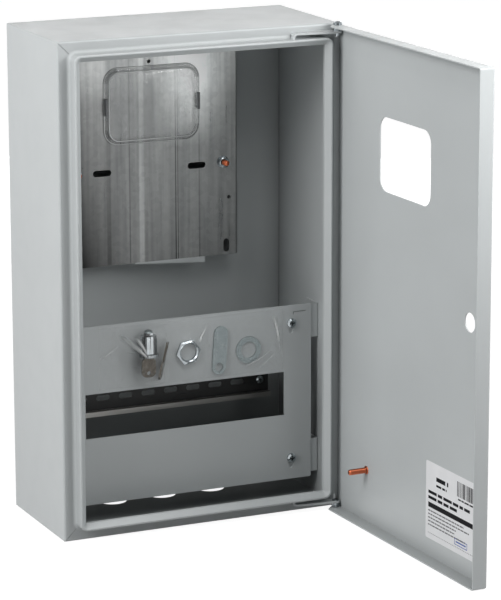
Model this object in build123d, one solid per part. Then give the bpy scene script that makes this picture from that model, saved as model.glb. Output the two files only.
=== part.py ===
from build123d import *
import os

# Overall sizes, millimetres
width = 300.0            # cabinet and door
height = 500.0           # cabinet
depth_closed = 155.0     # wall face to the outer face of the closed door
door_depth = 16.0        # depth of the door pan
door_gap = 0.5           # between the pan's edge and the cabinet's front
door_end_gap = 0.6       # cabinet's top or bottom to the door's top or bottom
body_depth = depth_closed - door_depth - door_gap
sheet = 1.2              # cabinet and door steel

# Front frame of the cabinet
gutter = 12.5            # width of the channel round the rim
rim_height = 14.0        # rim above the bottom of the channel
rim_lip = 7.0            # width of the rim seen from the front
lip_slope = 5.0          # part of that width that falls away into the opening
rim_return = 9.0         # depth of the hem inside the opening
rim_corner = 7.0         # corner radius of the rim
open_corner = 1.0        # corner radius of the opening inside the rim
bend = 2.0               # outside radius of folded edges
gutter_bend = 3.5        # wide bend from the channel up to the rim
crest_bend = 1.2         # tight fold along the rim's crest
seam_width = 0.6         # mitre seams at the corners of the channel
seam_depth = 0.4
corner_seam = 1.2        # open joint between the back and the sides
corner_seam_depth = 0.7

# Wall fixing and cable entries
wall_hole_r = 4.0
wall_hole_dx = 240.0
wall_hole_dz = 420.0
entry_r = 15.0
entry_pitch = 55.0
entry_y = -30.0

# Door hinge
pivot_inset = 6.5        # axis to the outer side of the cabinet
pivot_depth = 6.0        # axis to the outer face of the closed door
pivot_x = width / 2 - pivot_inset
pivot_y = -depth_closed + pivot_depth
door_angle = 92.0        # opening shown
pin_r = 2.5
pin_clearance = 0.07     # running fit of the hinge screw in the door
play = 0.3               # free space above and below the hinged flange
strap = 2.0              # thickness of the hinge straps
strap_drop = 6.6         # cabinet's top to the strap's top face
strap_reach = 54.0       # from the outer side to where the strap turns down to the rim
strap_x = width / 2 - strap_reach
strap_end_r = 4.2        # rounded end about the axis
strap_tip_y = -body_depth - 8.0
spacer_af = 8.0

# Door
hinge_flange = 10.0      # shallower flange on the hinge side
hinge_notch = 14.0       # cut away at each end of that flange for the straps
flange_chamfer = 10.0    # cut corner of the top and bottom flange at the hinge
window_w = 100.0
window_h = 74.0
window_r = 13.0
window_u = 136.0         # window centre from the hinge side
window_z = 384.0
lock_hole_r = 9.5
lock_u = 263.0           # lock hole from the hinge side
lock_z = 252.0
door_stud_u = 63.0
door_stud_z = 55.0
stud_r = 3.0
stud_clearance = 0.3

# Cover with the module opening
cover_y = -96.0          # back face of the cover
cover_t = 1.0
cover_side_gap = 10.0     # cover to the outer side of the cabinet
cover_w = width - 2 * cover_side_gap
cover_z0 = 21.0
cover_z1 = 205.5
cut_w = 219.0
cut_z0 = 90.0
cut_z1 = 136.0
cover_screw_inset = 32.5  # cover screws to the outer side of the cabinet
cover_screw_x = width / 2 - cover_screw_inset
cover_screw_z = (43.5, 187.0)
cover_screw_r = 2.0
cover_screw_l = 8.0
keyhole_drop = 9.0
slit = 0.8                # punched tab slit in the upper corner
slit_l = 14.0
slit_drop = 6.7           # from the cover's top edge
slit_x = cover_screw_x + 9.0
bracket_t = 1.5
bracket_h = 35.0
bracket_reach = 42.0
bracket_leg = 26.0

# Mounting rail
rail_front = -46.0
rail_depth = 7.5
rail_h = 35.0
rail_inner = 27.0
rail_t = 1.0
rail_inset = 22.0          # cover's side edge to the end of the rail
rail_l = cover_w - 2 * rail_inset
rail_rise = 1.5           # rail above the middle of the opening
rail_z = (cut_z0 + cut_z1) / 2 + rail_rise
rail_slot = 15.0
rail_slot_w = 5.2
rail_pitch = 25.0
rail_slots = 8
rail_slot_shift = -5.0     # middle of the slot row from the middle of the rail
rail_screw_inset = 10.0    # end of the rail to its screw
rail_screw_r = 2.0
rail_screw_head_r = 4.0
rail_screw_head = 2.6
rail_screw_l = 6.0
stand_x = rail_l / 2 - rail_screw_inset
stand_w = 20.0
stand_t = 1.5
stand_foot = 12.0

# Meter plate
plate_y = -22.0          # back face of the plate
plate_t = 1.5
plate_x = -7.0            # middle of the plate from the middle of the cabinet
plate_w = 196.0
plate_z0 = 248.0
plate_z1 = height - 32.0
plate_edge = 11.0        # depth of the folded edges
plate_slot_dx = 52.0      # fixing slots from the middle of the plate
plate_slot_z = 344.0
plate_slot_l = 20.0
plate_slot_w = 6.5
plate_stud_dx = 81.0      # studs from the middle of the plate
plate_stud_z = 345.5
plate_hole_r = 2.0
plate_hole_dx = 88.0
plate_hole_rise = 60.0
plate_hole_z = plate_z0 + plate_hole_rise
plate_foot_slot = 14.0    # upright slots in the lower corners
plate_foot_z = plate_z0 + 9.5
plate_top_hole = 13.0     # small hole below the top edge
plate_stud_end = -35.5
plate_spacer_r = 5.5
washer_t = 1.2
washer_r = 6.2
nut_af = 10.0
nut_t = 5.0
ledge_x0 = -24.0
ledge_x1 = 54.0
ledge_t = 1.2
ledge_lip = 6.2           # depth of its sloping lip at the wide end
ledge_foot = 12.0

# Window insert, sized to pass through the door's window
insert_clearance = 1.0
insert_w = window_w - 2 * insert_clearance
insert_h = window_h - 2 * insert_clearance
insert_flange = 3.5
insert_flange_t = 1.6
insert_d = 5.5
insert_wall = 1.5
insert_x = -4.5
insert_z = 411.5
clip_h = 17.0
clip_w = 3.0
clip_d = 3.2

# Lock kit in its pouch
film_t = 0.2
film_x0 = -95.0
film_x1 = 108.0
film_z0 = 139.0
film_z1 = 203.0
lock_x = -45.0
lock_head_r = 10.0
lock_body_r = 8.2
lock_head_z = 171.0
lock_head_t = 3.5
lock_body_l = 18.5
lock_nut_af = 23.0
lock_nut_t = 4.0
lock_nut_x = 2.0
lock_nut_z = 169.0
key_t = 2.0
key_blade = 20.0
key_bow_w = 15.0
key_bow_h = 20.0
spare_key_x = -28.0        # shoulder of the loose key
spare_key_z = 165.0
spare_key_lean = -14.0
spare_key_roll = 58.0      # turned up on its edge
keyway = key_t + 0.2       # width of the slot the key goes into
cam_screw_r = 2.0
cam_screw_l = 2.4
cam_w = 15.0
cam_l = 50.0
cam_t = 2.0
cam_x = 37.0
cam_z = 167.0
ring_r = 13.8              # flat ring washer of the lock
ring_hole_r = 8.6
ring_t = 1.4
ring_x = 69.0
ring_z = 164.0

cover_face = cover_y - cover_t
kit_face = cover_face - film_t
plate_face = plate_y - plate_t
wall_in = -sheet
side_in = width / 2 - sheet
mid_z = height / 2
rim_y = -body_depth - rim_height
door_z0 = door_end_gap
door_z1 = height - door_end_gap
to_frame = Pos(0, 0, -mid_z)   # origin at the centre of the wall face


def front(y, x=0.0, z=0.0):
    """A drawing plane that faces the front of the cabinet."""
    return Plane(origin=(x, y, z), x_dir=(1, 0, 0), z_dir=(0, -1, 0))


def block(x0, x1, y0, y1, z0, z1):
    """A box given by its limits."""
    centre = Pos((x0 + x1) / 2, (y0 + y1) / 2, (z0 + z1) / 2)
    return centre * Box(x1 - x0, y1 - y0, z1 - z0)


def pad(y, w, h, r, t, x=0.0, z=0.0):
    """A rounded rectangle facing front, grown forwards from y by t."""
    return extrude(front(y, x, z) * RectangleRounded(w, h, r), amount=t)


def round_hole(x, y, z, r, length):
    """A cutter along Y, centred on the point."""
    return Pos(x, y, z) * Rot(90, 0, 0) * Cylinder(r, length)


def slot_cut(x, y, z, length, w, depth, upright=False):
    """A rounded slot cutter along Y, centred on the point."""
    turn = 90 if upright else 0
    sketch = front(y + depth / 2, x, z) * Rot(0, 0, turn) * SlotOverall(length, w)
    return extrude(sketch, amount=depth)


def pan_screw(head_r, head_h, shank_r, shank_l):
    """A pan-head screw along Z, head above the origin, with a cross recess."""
    head = Cylinder(head_r, head_h, align=(Align.CENTER, Align.CENTER, Align.MIN))
    head = chamfer(head.edges().sort_by(Axis.Z)[-1], head_h * 0.4, head_h * 0.6)
    shank = Pos(0, 0, -shank_l) * Cylinder(shank_r, shank_l, align=(Align.CENTER, Align.CENTER, Align.MIN))
    recess = Box(head_r * 1.05, head_r * 0.24, head_h) + Box(head_r * 0.24, head_r * 1.05, head_h)
    return head + shank - Pos(0, 0, head_h) * recess


def hex_nut(af, t, hole_r):
    """A hexagon nut along Z, standing on the origin, chamfered on its outer face."""
    body = extrude(RegularPolygon(af / 2, 6, major_radius=False), amount=t)
    dome = Cylinder(af * 0.575, t, align=(Align.CENTER, Align.CENTER, Align.MIN))
    dome = chamfer(dome.edges().sort_by(Axis.Z)[-1], t * 0.12, t * 0.2)
    hole = Cylinder(hole_r, t * 3)
    return (body & dome) - hole


def stud(r, length):
    """A plain stud along Z from the origin, with a chamfered tip and a weld collar."""
    rod = Cylinder(r, length, align=(Align.CENTER, Align.CENTER, Align.MIN))
    rod = chamfer(rod.edges().sort_by(Axis.Z)[-1], r * 0.25)
    collar = Cylinder(r * 1.45, 0.9, align=(Align.CENTER, Align.CENTER, Align.MIN))
    return rod + collar


def to_front(x, y, z):
    """Place a piece drawn along Z so that it points out of the front."""
    return Pos(x, y, z) * Rot(90, 0, 0)


def to_door(piece):
    """Swing a piece drawn on the closed door to the opening shown."""
    return Pos(pivot_x, pivot_y, 0) * Rot(0, 0, door_angle) * Pos(-pivot_x, -pivot_y, 0) * piece


def throat(growth, deep):
    """The opening inside the rim, grown all round by half of the given amount: sloped mouth, straight hem."""
    open_w = width - 2 * gutter - 2 * rim_lip + growth
    open_h = height - 2 * gutter - 2 * rim_lip + growth
    open_r = open_corner + growth / 2
    start = rim_y + lip_slope
    hem = pad(rim_y + deep, open_w, open_h, open_r, deep - lip_slope, z=mid_z)
    mouth = front(start, z=mid_z) * RectangleRounded(open_w, open_h, open_r)
    return hem + extrude(mouth, amount=lip_slope, taper=-45)


def gutter_floor(shell):
    """The flat face at the bottom of the channel round the rim."""
    return [f for f in shell.faces().filter_by(Axis.Y) if abs(f.center().Y + body_depth) < 0.01][0]


def make_shell():
    """Cabinet: folded box, channel with mitre seams, raised rim with a hem."""
    box = block(-width / 2, width / 2, -body_depth, 0, 0, height)
    box = fillet(box.edges().filter_by(Axis.Y), 1.0)
    box = fillet(box.faces().sort_by(Axis.Y)[-1].edges(), 1.2)
    box -= block(-side_in, side_in, -body_depth + sheet, wall_in, sheet, height - sheet)
    rim_w = width - 2 * gutter
    rim_h = height - 2 * gutter
    hole_w = rim_w - 2 * sheet
    hole_h = rim_h - 2 * sheet
    hole_r = rim_corner - sheet
    box -= pad(-body_depth + 3 * sheet, hole_w, hole_h, hole_r, 6 * sheet, z=mid_z)
    root = -body_depth + sheet
    wall = pad(root, rim_w, rim_h, rim_corner, root - rim_y, z=mid_z)
    hollow = pad(root + 1, hole_w, hole_h, hole_r, root - rim_y + 1 - sheet, z=mid_z)
    wall -= hollow - throat(2 * sheet, rim_return)
    wall -= throat(0.0, root - rim_y + 1)
    shell = box + wall
    crest = shell.faces().filter_by(Axis.Y).sort_by(Axis.Y)[0]
    shell = fillet(crest.outer_wire().edges(), crest_bend)
    floor_face = gutter_floor(shell)
    shell = fillet(floor_face.inner_wires()[0].edges(), gutter_bend)
    floor_face = gutter_floor(shell)
    shell = fillet(floor_face.outer_wire().edges(), bend)
    inside = block(-side_in, side_in, -body_depth / 2, 0, 2 * sheet, height - 2 * sheet)
    for sx in (-1, 1):
        joint = Box(2 * corner_seam, 2 * corner_seam_depth, height)
        shell -= (Pos(sx * side_in, wall_in, mid_z) * joint) & inside
    seam_reach = gutter + rim_corner * 0.29 - bend
    for sx in (-1, 1):
        for z, tilt in ((0.0, -45 * sx), (height, 45 * sx)):
            dz = seam_reach / 2 if z == 0.0 else -seam_reach / 2
            cut = Box(seam_width, 2 * seam_depth, seam_reach * 1.414)
            spot = Pos(sx * (width / 2 - seam_reach / 2), -body_depth, z + dz)
            shell -= spot * Rot(0, tilt, 0) * cut
    for sx in (-1, 1):
        for sz in (-1, 1):
            z = mid_z + sz * wall_hole_dz / 2
            shell -= round_hole(sx * wall_hole_dx / 2, 0, z, wall_hole_r, 6 * sheet)
    for i in (-1, 0, 1):
        shell -= Pos(i * entry_pitch, entry_y, 0) * Cylinder(entry_r, 6 * sheet)
    return shell


def make_strap():
    """Upper hinge strap: turned down to the rim at one end, pivot eye at the other."""
    top = height - strap_drop
    seat = height - gutter
    bend_r = 2.5 * strap
    outline = Polyline(
        (strap_x, -body_depth),
        (strap_x, strap_tip_y),
        (pivot_x - 2.0, pivot_y - strap_end_r),
        (pivot_x + 2.0, pivot_y),
        (pivot_x - 6.0, -body_depth),
        close=True,
    )
    plan = make_face(outline) + Pos(pivot_x, pivot_y) * Circle(strap_end_r)
    bar = extrude(Pos(0, 0, seat) * plan, amount=top - seat)
    under = block(strap_x + strap, width, -depth_closed, 0, seat - 1, top - strap)
    under = fillet(under.edges().filter_by(Axis.Y).group_by(Axis.X)[0].sort_by(Axis.Z)[-1], bend_r - strap)
    bar -= under
    crest = bar.edges().filter_by(Axis.Y).group_by(Axis.X)[0].sort_by(Axis.Z)[-1]
    bar = fillet(crest, bend_r)
    bar -= block(0, width, -body_depth - gutter_bend, 0, seat - 1, seat + gutter_bend)
    return bar - Pos(pivot_x, pivot_y, top) * Cylinder(pin_r, 4 * strap)


def flip(piece):
    """Turn an upper piece into its lower twin."""
    return mirror(piece, about=Plane(origin=(0, 0, mid_z), z_dir=(0, 0, 1)))


def make_hinge_screw(lower):
    """Hinge screw; the lower one goes in from above so that nothing shows under the floor."""
    strap_top = height - strap_drop
    if lower:
        length = strap_drop + strap - door_z0
        return Pos(pivot_x, pivot_y, strap_drop + strap) * pan_screw(3.6, 1.2, pin_r, length)
    seat = door_z1 + play
    return Pos(pivot_x, pivot_y, seat) * pan_screw(4.4, 3.2, pin_r, seat - strap_top + strap + 2.4)


def make_spacer():
    """Upper hinge spacer between strap and door flange."""
    low = height - strap_drop
    high = door_z1 - sheet - play
    return Pos(pivot_x, pivot_y, low) * Rot(0, 0, 15) * hex_nut(spacer_af, high - low, pin_r)


def make_door():
    """Door pan: folded edges, window and lock openings, cut back at the hinge."""
    y0 = -depth_closed
    y1 = y0 + door_depth
    half = width / 2
    pan = block(-half, half, y0, y1, door_z0, door_z1)
    pan = fillet(pan.edges().filter_by(Axis.Y), bend)
    pan = fillet(pan.faces().sort_by(Axis.Y)[0].edges(), bend)
    pan -= block(-half + sheet, half - sheet, y0 + sheet, y1 + 1, door_z0 + sheet, door_z1 - sheet)
    pan -= block(half - 2 * sheet, half + 1, y0 + hinge_flange, y1 + 1, door_z0 + sheet, door_z1 - sheet)
    for z0, z1 in ((door_z0 + sheet, hinge_notch), (height - hinge_notch, door_z1 - sheet)):
        pan -= block(half - 2 * sheet, half + 1, y0 + bend + sheet, y1 + 1, z0, z1)
    corner = Polyline(
        (half + 1, y1 + 1),
        (half - flange_chamfer - 1, y1 + 1),
        (half + 1, y1 - flange_chamfer - 1),
        close=True,
    )
    pan -= extrude(make_face(corner), amount=height)
    pan -= pad(y0 + 5, window_w, window_h, window_r, 10, x=half - window_u, z=window_z)
    pan -= round_hole(half - lock_u, y0, lock_z, lock_hole_r, 10)
    for z in (door_z0, door_z1):
        pan -= Pos(pivot_x, pivot_y, z) * Cylinder(pin_r + pin_clearance, 4 * sheet)
    return pan


def make_cover():
    """Flat cover with the module opening, screw slots and a tab slit."""
    cover = block(-cover_w / 2, cover_w / 2, cover_face, cover_y, cover_z0, cover_z1)
    cover = fillet(cover.edges().filter_by(Axis.Y), 1.5)
    cover -= block(-cut_w / 2, cut_w / 2, cover_face - 1, cover_y + 1, cut_z0, cut_z1)
    for x in (-cover_screw_x, cover_screw_x):
        for z in cover_screw_z:
            cover -= slot_cut(x, cover_y, z - keyhole_drop / 2 + 1, keyhole_drop + 5, 5.0, 6, upright=True)
    top = cover_z1 - slit_drop
    left = slit_x - slit_l / 2
    cover -= block(left, left + slit_l, cover_face - 1, cover_y + 1, top - slit, top)
    return cover - block(left, left + slit, cover_face - 1, cover_y + 1, top - 4 * slit, top)


def make_cover_bracket(side, z_mid):
    """Angle on a side wall that carries one corner of the cover, tapped for its screw."""
    z0 = z_mid - bracket_h / 2
    z1 = z_mid + bracket_h / 2
    leg = block(side_in - bracket_reach, side_in, cover_y, cover_y + bracket_t, z0, z1)
    foot = block(side_in - bracket_t, side_in, cover_y, cover_y + bracket_leg, z0, z1)
    angle = leg + foot
    edge = angle.edges().filter_by(Axis.Z).sort_by_distance((side_in, cover_y, z_mid))[0]
    angle = fillet(edge, bracket_t)
    angle -= round_hole(cover_screw_x, cover_y, z_mid, cover_screw_r, 6)
    return angle if side > 0 else mirror(angle, about=Plane.YZ)


def make_rail():
    """Top-hat rail with slots along its web."""
    back = rail_front + rail_depth
    end = rail_l / 2
    low = rail_z - rail_inner / 2
    high = rail_z + rail_inner / 2
    rail = block(-end, end, rail_front, rail_front + rail_t, rail_z - rail_h / 2, rail_z + rail_h / 2)
    rail -= block(-rail_l, rail_l, rail_front - 1, 0, low + rail_t, high - rail_t)
    hat = block(-end, end, rail_front, back, low, high)
    hat -= block(-rail_l, rail_l, rail_front - 1, back - rail_t, low + rail_t, high - rail_t)
    rail = rail + hat
    first = -(rail_slots - 1) / 2
    for i in range(rail_slots):
        x = rail_slot_shift + (first + i) * rail_pitch
        rail -= slot_cut(x, back, rail_z, rail_slot, rail_slot_w, 6)
    for x in (-stand_x, stand_x):
        rail -= round_hole(x, back, rail_z, rail_screw_r, 6 * rail_t)
    return rail


def make_stand(side):
    """Hat-shaped stand that carries one end of the rail off the back wall."""
    face = rail_front + rail_depth
    half = rail_inner / 2 + 2.5
    x0 = side * stand_x - stand_w / 2
    x1 = side * stand_x + stand_w / 2
    hat = block(x0, x1, face, wall_in, rail_z - half, rail_z + half)
    hat = fillet(hat.edges().filter_by(Axis.X).group_by(Axis.Y)[0], 2.0)
    hat -= block(x0 - 1, x1 + 1, face + stand_t, 1, rail_z - half + stand_t, rail_z + half - stand_t)
    low = rail_z - half
    high = rail_z + half
    hat += block(x0, x1, wall_in - stand_t, wall_in, low - stand_foot, low + stand_t)
    hat += block(x0, x1, wall_in - stand_t, wall_in, high - stand_t, high + stand_foot)
    return hat - round_hole(side * stand_x, face, rail_z, rail_screw_r, 4 * stand_t)


def make_meter_plate():
    """Galvanised plate with folded edges and fixing slots."""
    half = plate_w / 2
    plate = block(-half, half, plate_face, plate_face + plate_edge, plate_z0, plate_z1)
    plate = fillet(plate.faces().sort_by(Axis.Y)[0].edges().filter_by(Axis.Z), plate_t + 1)
    plate -= block(plate_t - half, half - plate_t, plate_y, 0, plate_z0 + plate_t, plate_z1 - plate_t)
    deep = 4 * plate_t
    for side in (-1, 1):
        plate -= slot_cut(side * plate_slot_dx, plate_y, plate_slot_z, plate_slot_l, plate_slot_w, deep)
        plate -= round_hole(side * plate_stud_dx, plate_y, plate_stud_z, stud_r + stud_clearance, deep)
        plate -= round_hole(side * plate_hole_dx, plate_y, plate_hole_z, plate_hole_r, deep)
        foot_x = side * (plate_hole_dx - 3)
        plate -= slot_cut(foot_x, plate_y, plate_foot_z, plate_foot_slot, plate_slot_w, deep, True)
    plate -= round_hole(0, plate_y, plate_z1 - plate_top_hole, plate_hole_r, deep)
    return Pos(plate_x, 0, 0) * plate


def make_ledge():
    """Ledge on the back wall that the meter plate stands on, with a sloping lip."""
    top = plate_z0
    arm = block(ledge_x0, ledge_x1, plate_face, wall_in, top - ledge_t, top)
    foot = block(ledge_x0, ledge_x1, wall_in - ledge_t, wall_in, top - ledge_t, top + ledge_foot)
    edge = Polyline(
        (ledge_x0, top),
        (ledge_x1, top),
        (ledge_x1, top - ledge_lip),
        (ledge_x0, top - ledge_t),
        close=True,
    )
    lip = extrude(front(plate_face + ledge_t) * make_face(edge), amount=ledge_t)
    return arm + foot + lip


def make_insert():
    """Clear window insert: a shallow tray with a flange that stops behind the door."""
    tray = pad(plate_face, insert_w, insert_h, window_r - insert_clearance, insert_d)
    tray = chamfer(tray.faces().sort_by(Axis.Y)[0].edges(), 0.9)
    rim_w = insert_w + 2 * insert_flange
    rim_h = insert_h + 2 * insert_flange
    tray += pad(plate_face, rim_w, rim_h, window_r - insert_clearance + insert_flange, insert_flange_t)
    hollow_r = window_r - insert_clearance - insert_wall
    hollow = pad(plate_face + 1, insert_w - 2 * insert_wall, insert_h - 2 * insert_wall, hollow_r,
                 insert_d - insert_wall + 1)
    return Pos(insert_x, 0, insert_z) * (tray - hollow)


def make_clips():
    """Two clips on the insert's flange."""
    x = insert_w / 2 + clip_w / 2
    y1 = plate_face - insert_flange_t
    clips = []
    for side in (-1, 1):
        clip = block(side * x - clip_w / 2, side * x + clip_w / 2, y1 - clip_d, y1, -clip_h / 2, clip_h / 2)
        clip = chamfer(clip.faces().sort_by(Axis.Y)[0].edges(), clip_w / 5)
        clips.append(Pos(insert_x, 0, insert_z) * clip)
    return Compound(children=clips)


def make_lock():
    """Lock cylinder lying upright: round head below, flatted body, square end above."""
    axis_y = kit_face - lock_head_r
    head = Cylinder(lock_head_r, lock_head_t, align=(Align.CENTER, Align.CENTER, Align.MIN))
    head = chamfer(head.edges().sort_by(Axis.Z)[0], 1.0)
    body = Cylinder(lock_body_r, lock_body_l, align=(Align.CENTER, Align.CENTER, Align.MIN))
    body = Pos(0, 0, lock_head_t) * body
    flat = lock_body_r * 0.84
    body &= Box(4 * lock_body_r, 2 * flat, 4 * (lock_head_t + lock_body_l))
    end = Pos(0, 0, lock_head_t + lock_body_l) * Box(7, 7, 3, align=(Align.CENTER, Align.CENTER, Align.MIN))
    lock = head + body + end
    lock -= Box(7.4, keyway, 2 * key_blade)
    lock -= Pos(0, 0, lock_head_t + lock_body_l + 3) * Cylinder(cam_screw_r, 2 * cam_screw_l)
    return Pos(lock_x, axis_y, lock_head_z) * lock


def make_cam_screw():
    """Screw that holds the cam, in the square end of the cylinder."""
    z = lock_head_z + lock_head_t + lock_body_l + 3
    return Pos(lock_x, kit_face - lock_head_r, z) * pan_screw(4.2, 2.8, cam_screw_r, cam_screw_l)


def key_blank():
    """A flat key drawn upright about the shoulder: bow below, cut blade above."""
    bow = Pos(0, -key_bow_h / 2) * RectangleRounded(key_bow_w, key_bow_h, key_bow_w * 0.38)
    blade = Pos(0, key_blade / 2 - 1) * Rectangle(7.0, key_blade)
    sketch = bow + blade - Pos(0, 4.2 - key_bow_h) * Circle(2.2)
    for i, cut in enumerate((1.2, 1.9, 0.9, 1.6)):
        sketch -= Pos(3.5, 5.0 + 3.4 * i) * Rectangle(2 * cut, 1.7)
    return sketch


def make_keys():
    """One key in the lock, one on its edge beside it."""
    axis_y = kit_face - lock_head_r
    first = extrude(front(axis_y + key_t / 2, lock_x, lock_head_z - 1.0) * key_blank(), amount=key_t)
    turn = Rot(0, 0, spare_key_lean) * Rot(0, spare_key_roll, 0)
    second = Location(front(0, spare_key_x, spare_key_z)) * turn * extrude(key_blank(), amount=key_t)
    second = Pos(0, kit_face - second.bounding_box().max.Y, 0) * second
    return Compound(children=[first, second])


def make_lock_nut():
    """Thin hexagon nut of the lock."""
    nut = Rot(0, 0, 8) * hex_nut(lock_nut_af, lock_nut_t, lock_body_r)
    return to_front(lock_nut_x, kit_face, lock_nut_z) * nut


def make_cam():
    """Flat cam with a toothed hole at its lower end."""
    sketch = SlotOverall(cam_l, cam_w, rotation=90)
    star = RegularPolygon(4.6, 6) + Rot(0, 0, 30) * RegularPolygon(4.6, 6)
    sketch -= Pos(0, -cam_l / 2 + cam_w / 2) * star
    return extrude(front(kit_face, cam_x, cam_z) * Rot(0, 0, -4) * sketch, amount=cam_t)


def make_lock_washer():
    """Flat ring washer."""
    ring = Circle(ring_r) - Circle(ring_hole_r)
    return extrude(front(kit_face, ring_x, ring_z) * ring, amount=ring_t)


def pair(make, xs, z):
    """Copies of one turned piece at several places, all pointing out of the front."""
    return Compound(children=[Pos(x, 0, z) * make() for x in xs])


def main():
    nodes = {}
    nodes["cabinet_shell"] = make_shell()
    strap_top = make_strap()
    nodes["hinge_strap_top"] = strap_top
    nodes["hinge_strap_bottom"] = flip(strap_top)
    nodes["hinge_screw_top"] = make_hinge_screw(False)
    nodes["hinge_screw_bottom"] = make_hinge_screw(True)
    spacer = make_spacer()
    nodes["hinge_spacer_top"] = spacer
    nodes["hinge_spacer_bottom"] = flip(spacer)

    low, high = cover_screw_z
    nodes["cover_bracket_upper_right"] = make_cover_bracket(1, high)
    nodes["cover_bracket_lower_right"] = make_cover_bracket(1, low)
    nodes["cover_bracket_upper_left"] = make_cover_bracket(-1, high)
    nodes["cover_bracket_lower_left"] = make_cover_bracket(-1, low)
    nodes["cover_panel"] = make_cover()
    screws = []
    for x in (-cover_screw_x, cover_screw_x):
        for z in cover_screw_z:
            screws.append(to_front(x, cover_face, z) * pan_screw(4.8, 3.2, cover_screw_r, cover_screw_l))
    nodes["cover_screws"] = Compound(children=screws)

    nodes["mounting_rail"] = make_rail()
    nodes["rail_stand_right"] = make_stand(1)
    nodes["rail_stand_left"] = make_stand(-1)
    ends = (-stand_x, stand_x)
    nodes["rail_screws"] = pair(make_rail_screw, ends, rail_z)

    nodes["meter_plate"] = make_meter_plate()
    nodes["plate_ledge"] = make_ledge()
    spots = (plate_x - plate_stud_dx, plate_x + plate_stud_dx)
    nodes["plate_studs"] = pair(make_plate_stud, spots, plate_stud_z)
    nodes["plate_spacers"] = pair(make_plate_spacer, spots, plate_stud_z)
    nodes["plate_washers"] = pair(make_plate_washer, spots, plate_stud_z)
    nodes["plate_nuts"] = pair(make_plate_nut, spots, plate_stud_z)
    nodes["window_insert"] = make_insert()
    nodes["window_clips"] = make_clips()

    film_w = film_x1 - film_x0
    film_h = film_z1 - film_z0
    nodes["kit_film"] = pad(cover_face, film_w, film_h, 4.0, film_t, x=(film_x0 + film_x1) / 2,
                            z=(film_z0 + film_z1) / 2)
    nodes["lock_cylinder"] = make_lock()
    nodes["lock_cam_screw"] = make_cam_screw()
    nodes["lock_keys"] = make_keys()
    nodes["lock_nut"] = make_lock_nut()
    nodes["lock_cam"] = make_cam()
    nodes["lock_washer"] = make_lock_washer()

    nodes["door_panel"] = to_door(make_door())
    inner = -depth_closed + sheet
    post = Pos(width / 2 - door_stud_u, inner, door_stud_z) * Rot(-90, 0, 0) * stud(stud_r, 20.0)
    nodes["door_earth_stud"] = to_door(post)

    os.makedirs("parts", exist_ok=True)
    for name, shape in nodes.items():
        export_step(to_frame * shape, os.path.join("parts", name + ".step"))


def make_rail_screw():
    """Screw that holds the rail's web to a stand."""
    web = rail_front + rail_depth - rail_t
    return to_front(0, web, 0) * pan_screw(rail_screw_head_r, rail_screw_head, rail_screw_r, rail_screw_l)


def make_plate_stud():
    """Stud on the back wall that carries the plate."""
    return to_front(0, wall_in, 0) * stud(stud_r, wall_in - plate_stud_end)


def make_plate_spacer():
    """Sleeve that holds the plate off the back wall."""
    length = wall_in - plate_y
    sleeve = Cylinder(plate_spacer_r, length, align=(Align.CENTER, Align.CENTER, Align.MIN))
    bore = Cylinder(stud_r * 1.5, 3 * length)
    return to_front(0, wall_in, 0) * (sleeve - bore)


def make_plate_washer():
    """Washer on the front of the plate."""
    ring = Circle(washer_r) - Circle(stud_r)
    return extrude(front(plate_face) * ring, amount=washer_t)


def make_plate_nut():
    """Nut that clamps the plate."""
    return to_front(0, plate_face - washer_t, 0) * hex_nut(nut_af, nut_t, stud_r)


main()
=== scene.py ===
"""Electrical enclosure: finishes, small dressings, studio and camera."""
import logging
import math
import random
from dataclasses import dataclass, field
from enum import Enum
from typing import Dict, List, Optional, Sequence, Tuple, Union

import bmesh
import bpy
from mathutils import Matrix, Vector, noise


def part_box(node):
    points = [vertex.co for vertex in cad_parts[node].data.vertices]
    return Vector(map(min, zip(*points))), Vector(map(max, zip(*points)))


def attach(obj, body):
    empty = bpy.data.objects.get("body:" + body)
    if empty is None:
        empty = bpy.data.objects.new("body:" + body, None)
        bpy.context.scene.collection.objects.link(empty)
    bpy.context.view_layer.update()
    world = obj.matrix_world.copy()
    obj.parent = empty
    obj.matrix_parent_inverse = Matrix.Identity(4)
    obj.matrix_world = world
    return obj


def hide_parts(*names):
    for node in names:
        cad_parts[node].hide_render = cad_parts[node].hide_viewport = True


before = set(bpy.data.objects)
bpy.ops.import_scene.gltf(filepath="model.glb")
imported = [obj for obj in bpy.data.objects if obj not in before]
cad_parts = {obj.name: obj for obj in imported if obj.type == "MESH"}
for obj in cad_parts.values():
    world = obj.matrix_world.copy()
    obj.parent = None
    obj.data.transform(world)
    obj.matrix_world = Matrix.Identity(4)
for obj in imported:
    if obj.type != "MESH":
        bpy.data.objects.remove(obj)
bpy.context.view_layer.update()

LOG = logging.getLogger("enclosure")
# One millimetre in metres, and the cabinet's floor below the frame's origin in metres
MM = 0.001
HALF_HEIGHT = 0.250
# The point attribute that says how pale clear plastic is, painting highlights on its folds and rims
MARK = "mark"

Colour = Tuple[float, float, float]
Span = Tuple[float, float]
Socket = bpy.types.NodeSocket
Sockets = Dict[str, Socket]
Value = Union[float, Socket]
Paint = Union[Colour, Socket]
Ring = List[bmesh.types.BMVert]

RISE: Span = (0.0, 1.0)
FALL: Span = (1.0, 0.0)
WHITE: Colour = (1.0, 1.0, 1.0)


class Body(Enum):
    """The rigid bodies that pieces ride on."""

    CABINET = "cabinet"
    DOOR = "door"


class Slot(Enum):
    """Material slots of the record."""

    COAT = "powder_coat"
    COPPER = "copper"
    CHROME = "chrome"
    CLEAR = "clear_plastic"
    FILM = "clear_film"


class Grain(Enum):
    """The direction that rolled sheet was drawn in, as the scale of its marks along each axis."""

    UPRIGHT = (60.0, 60.0, 1.6)
    LEVEL = (1.6, 60.0, 60.0)


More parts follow.
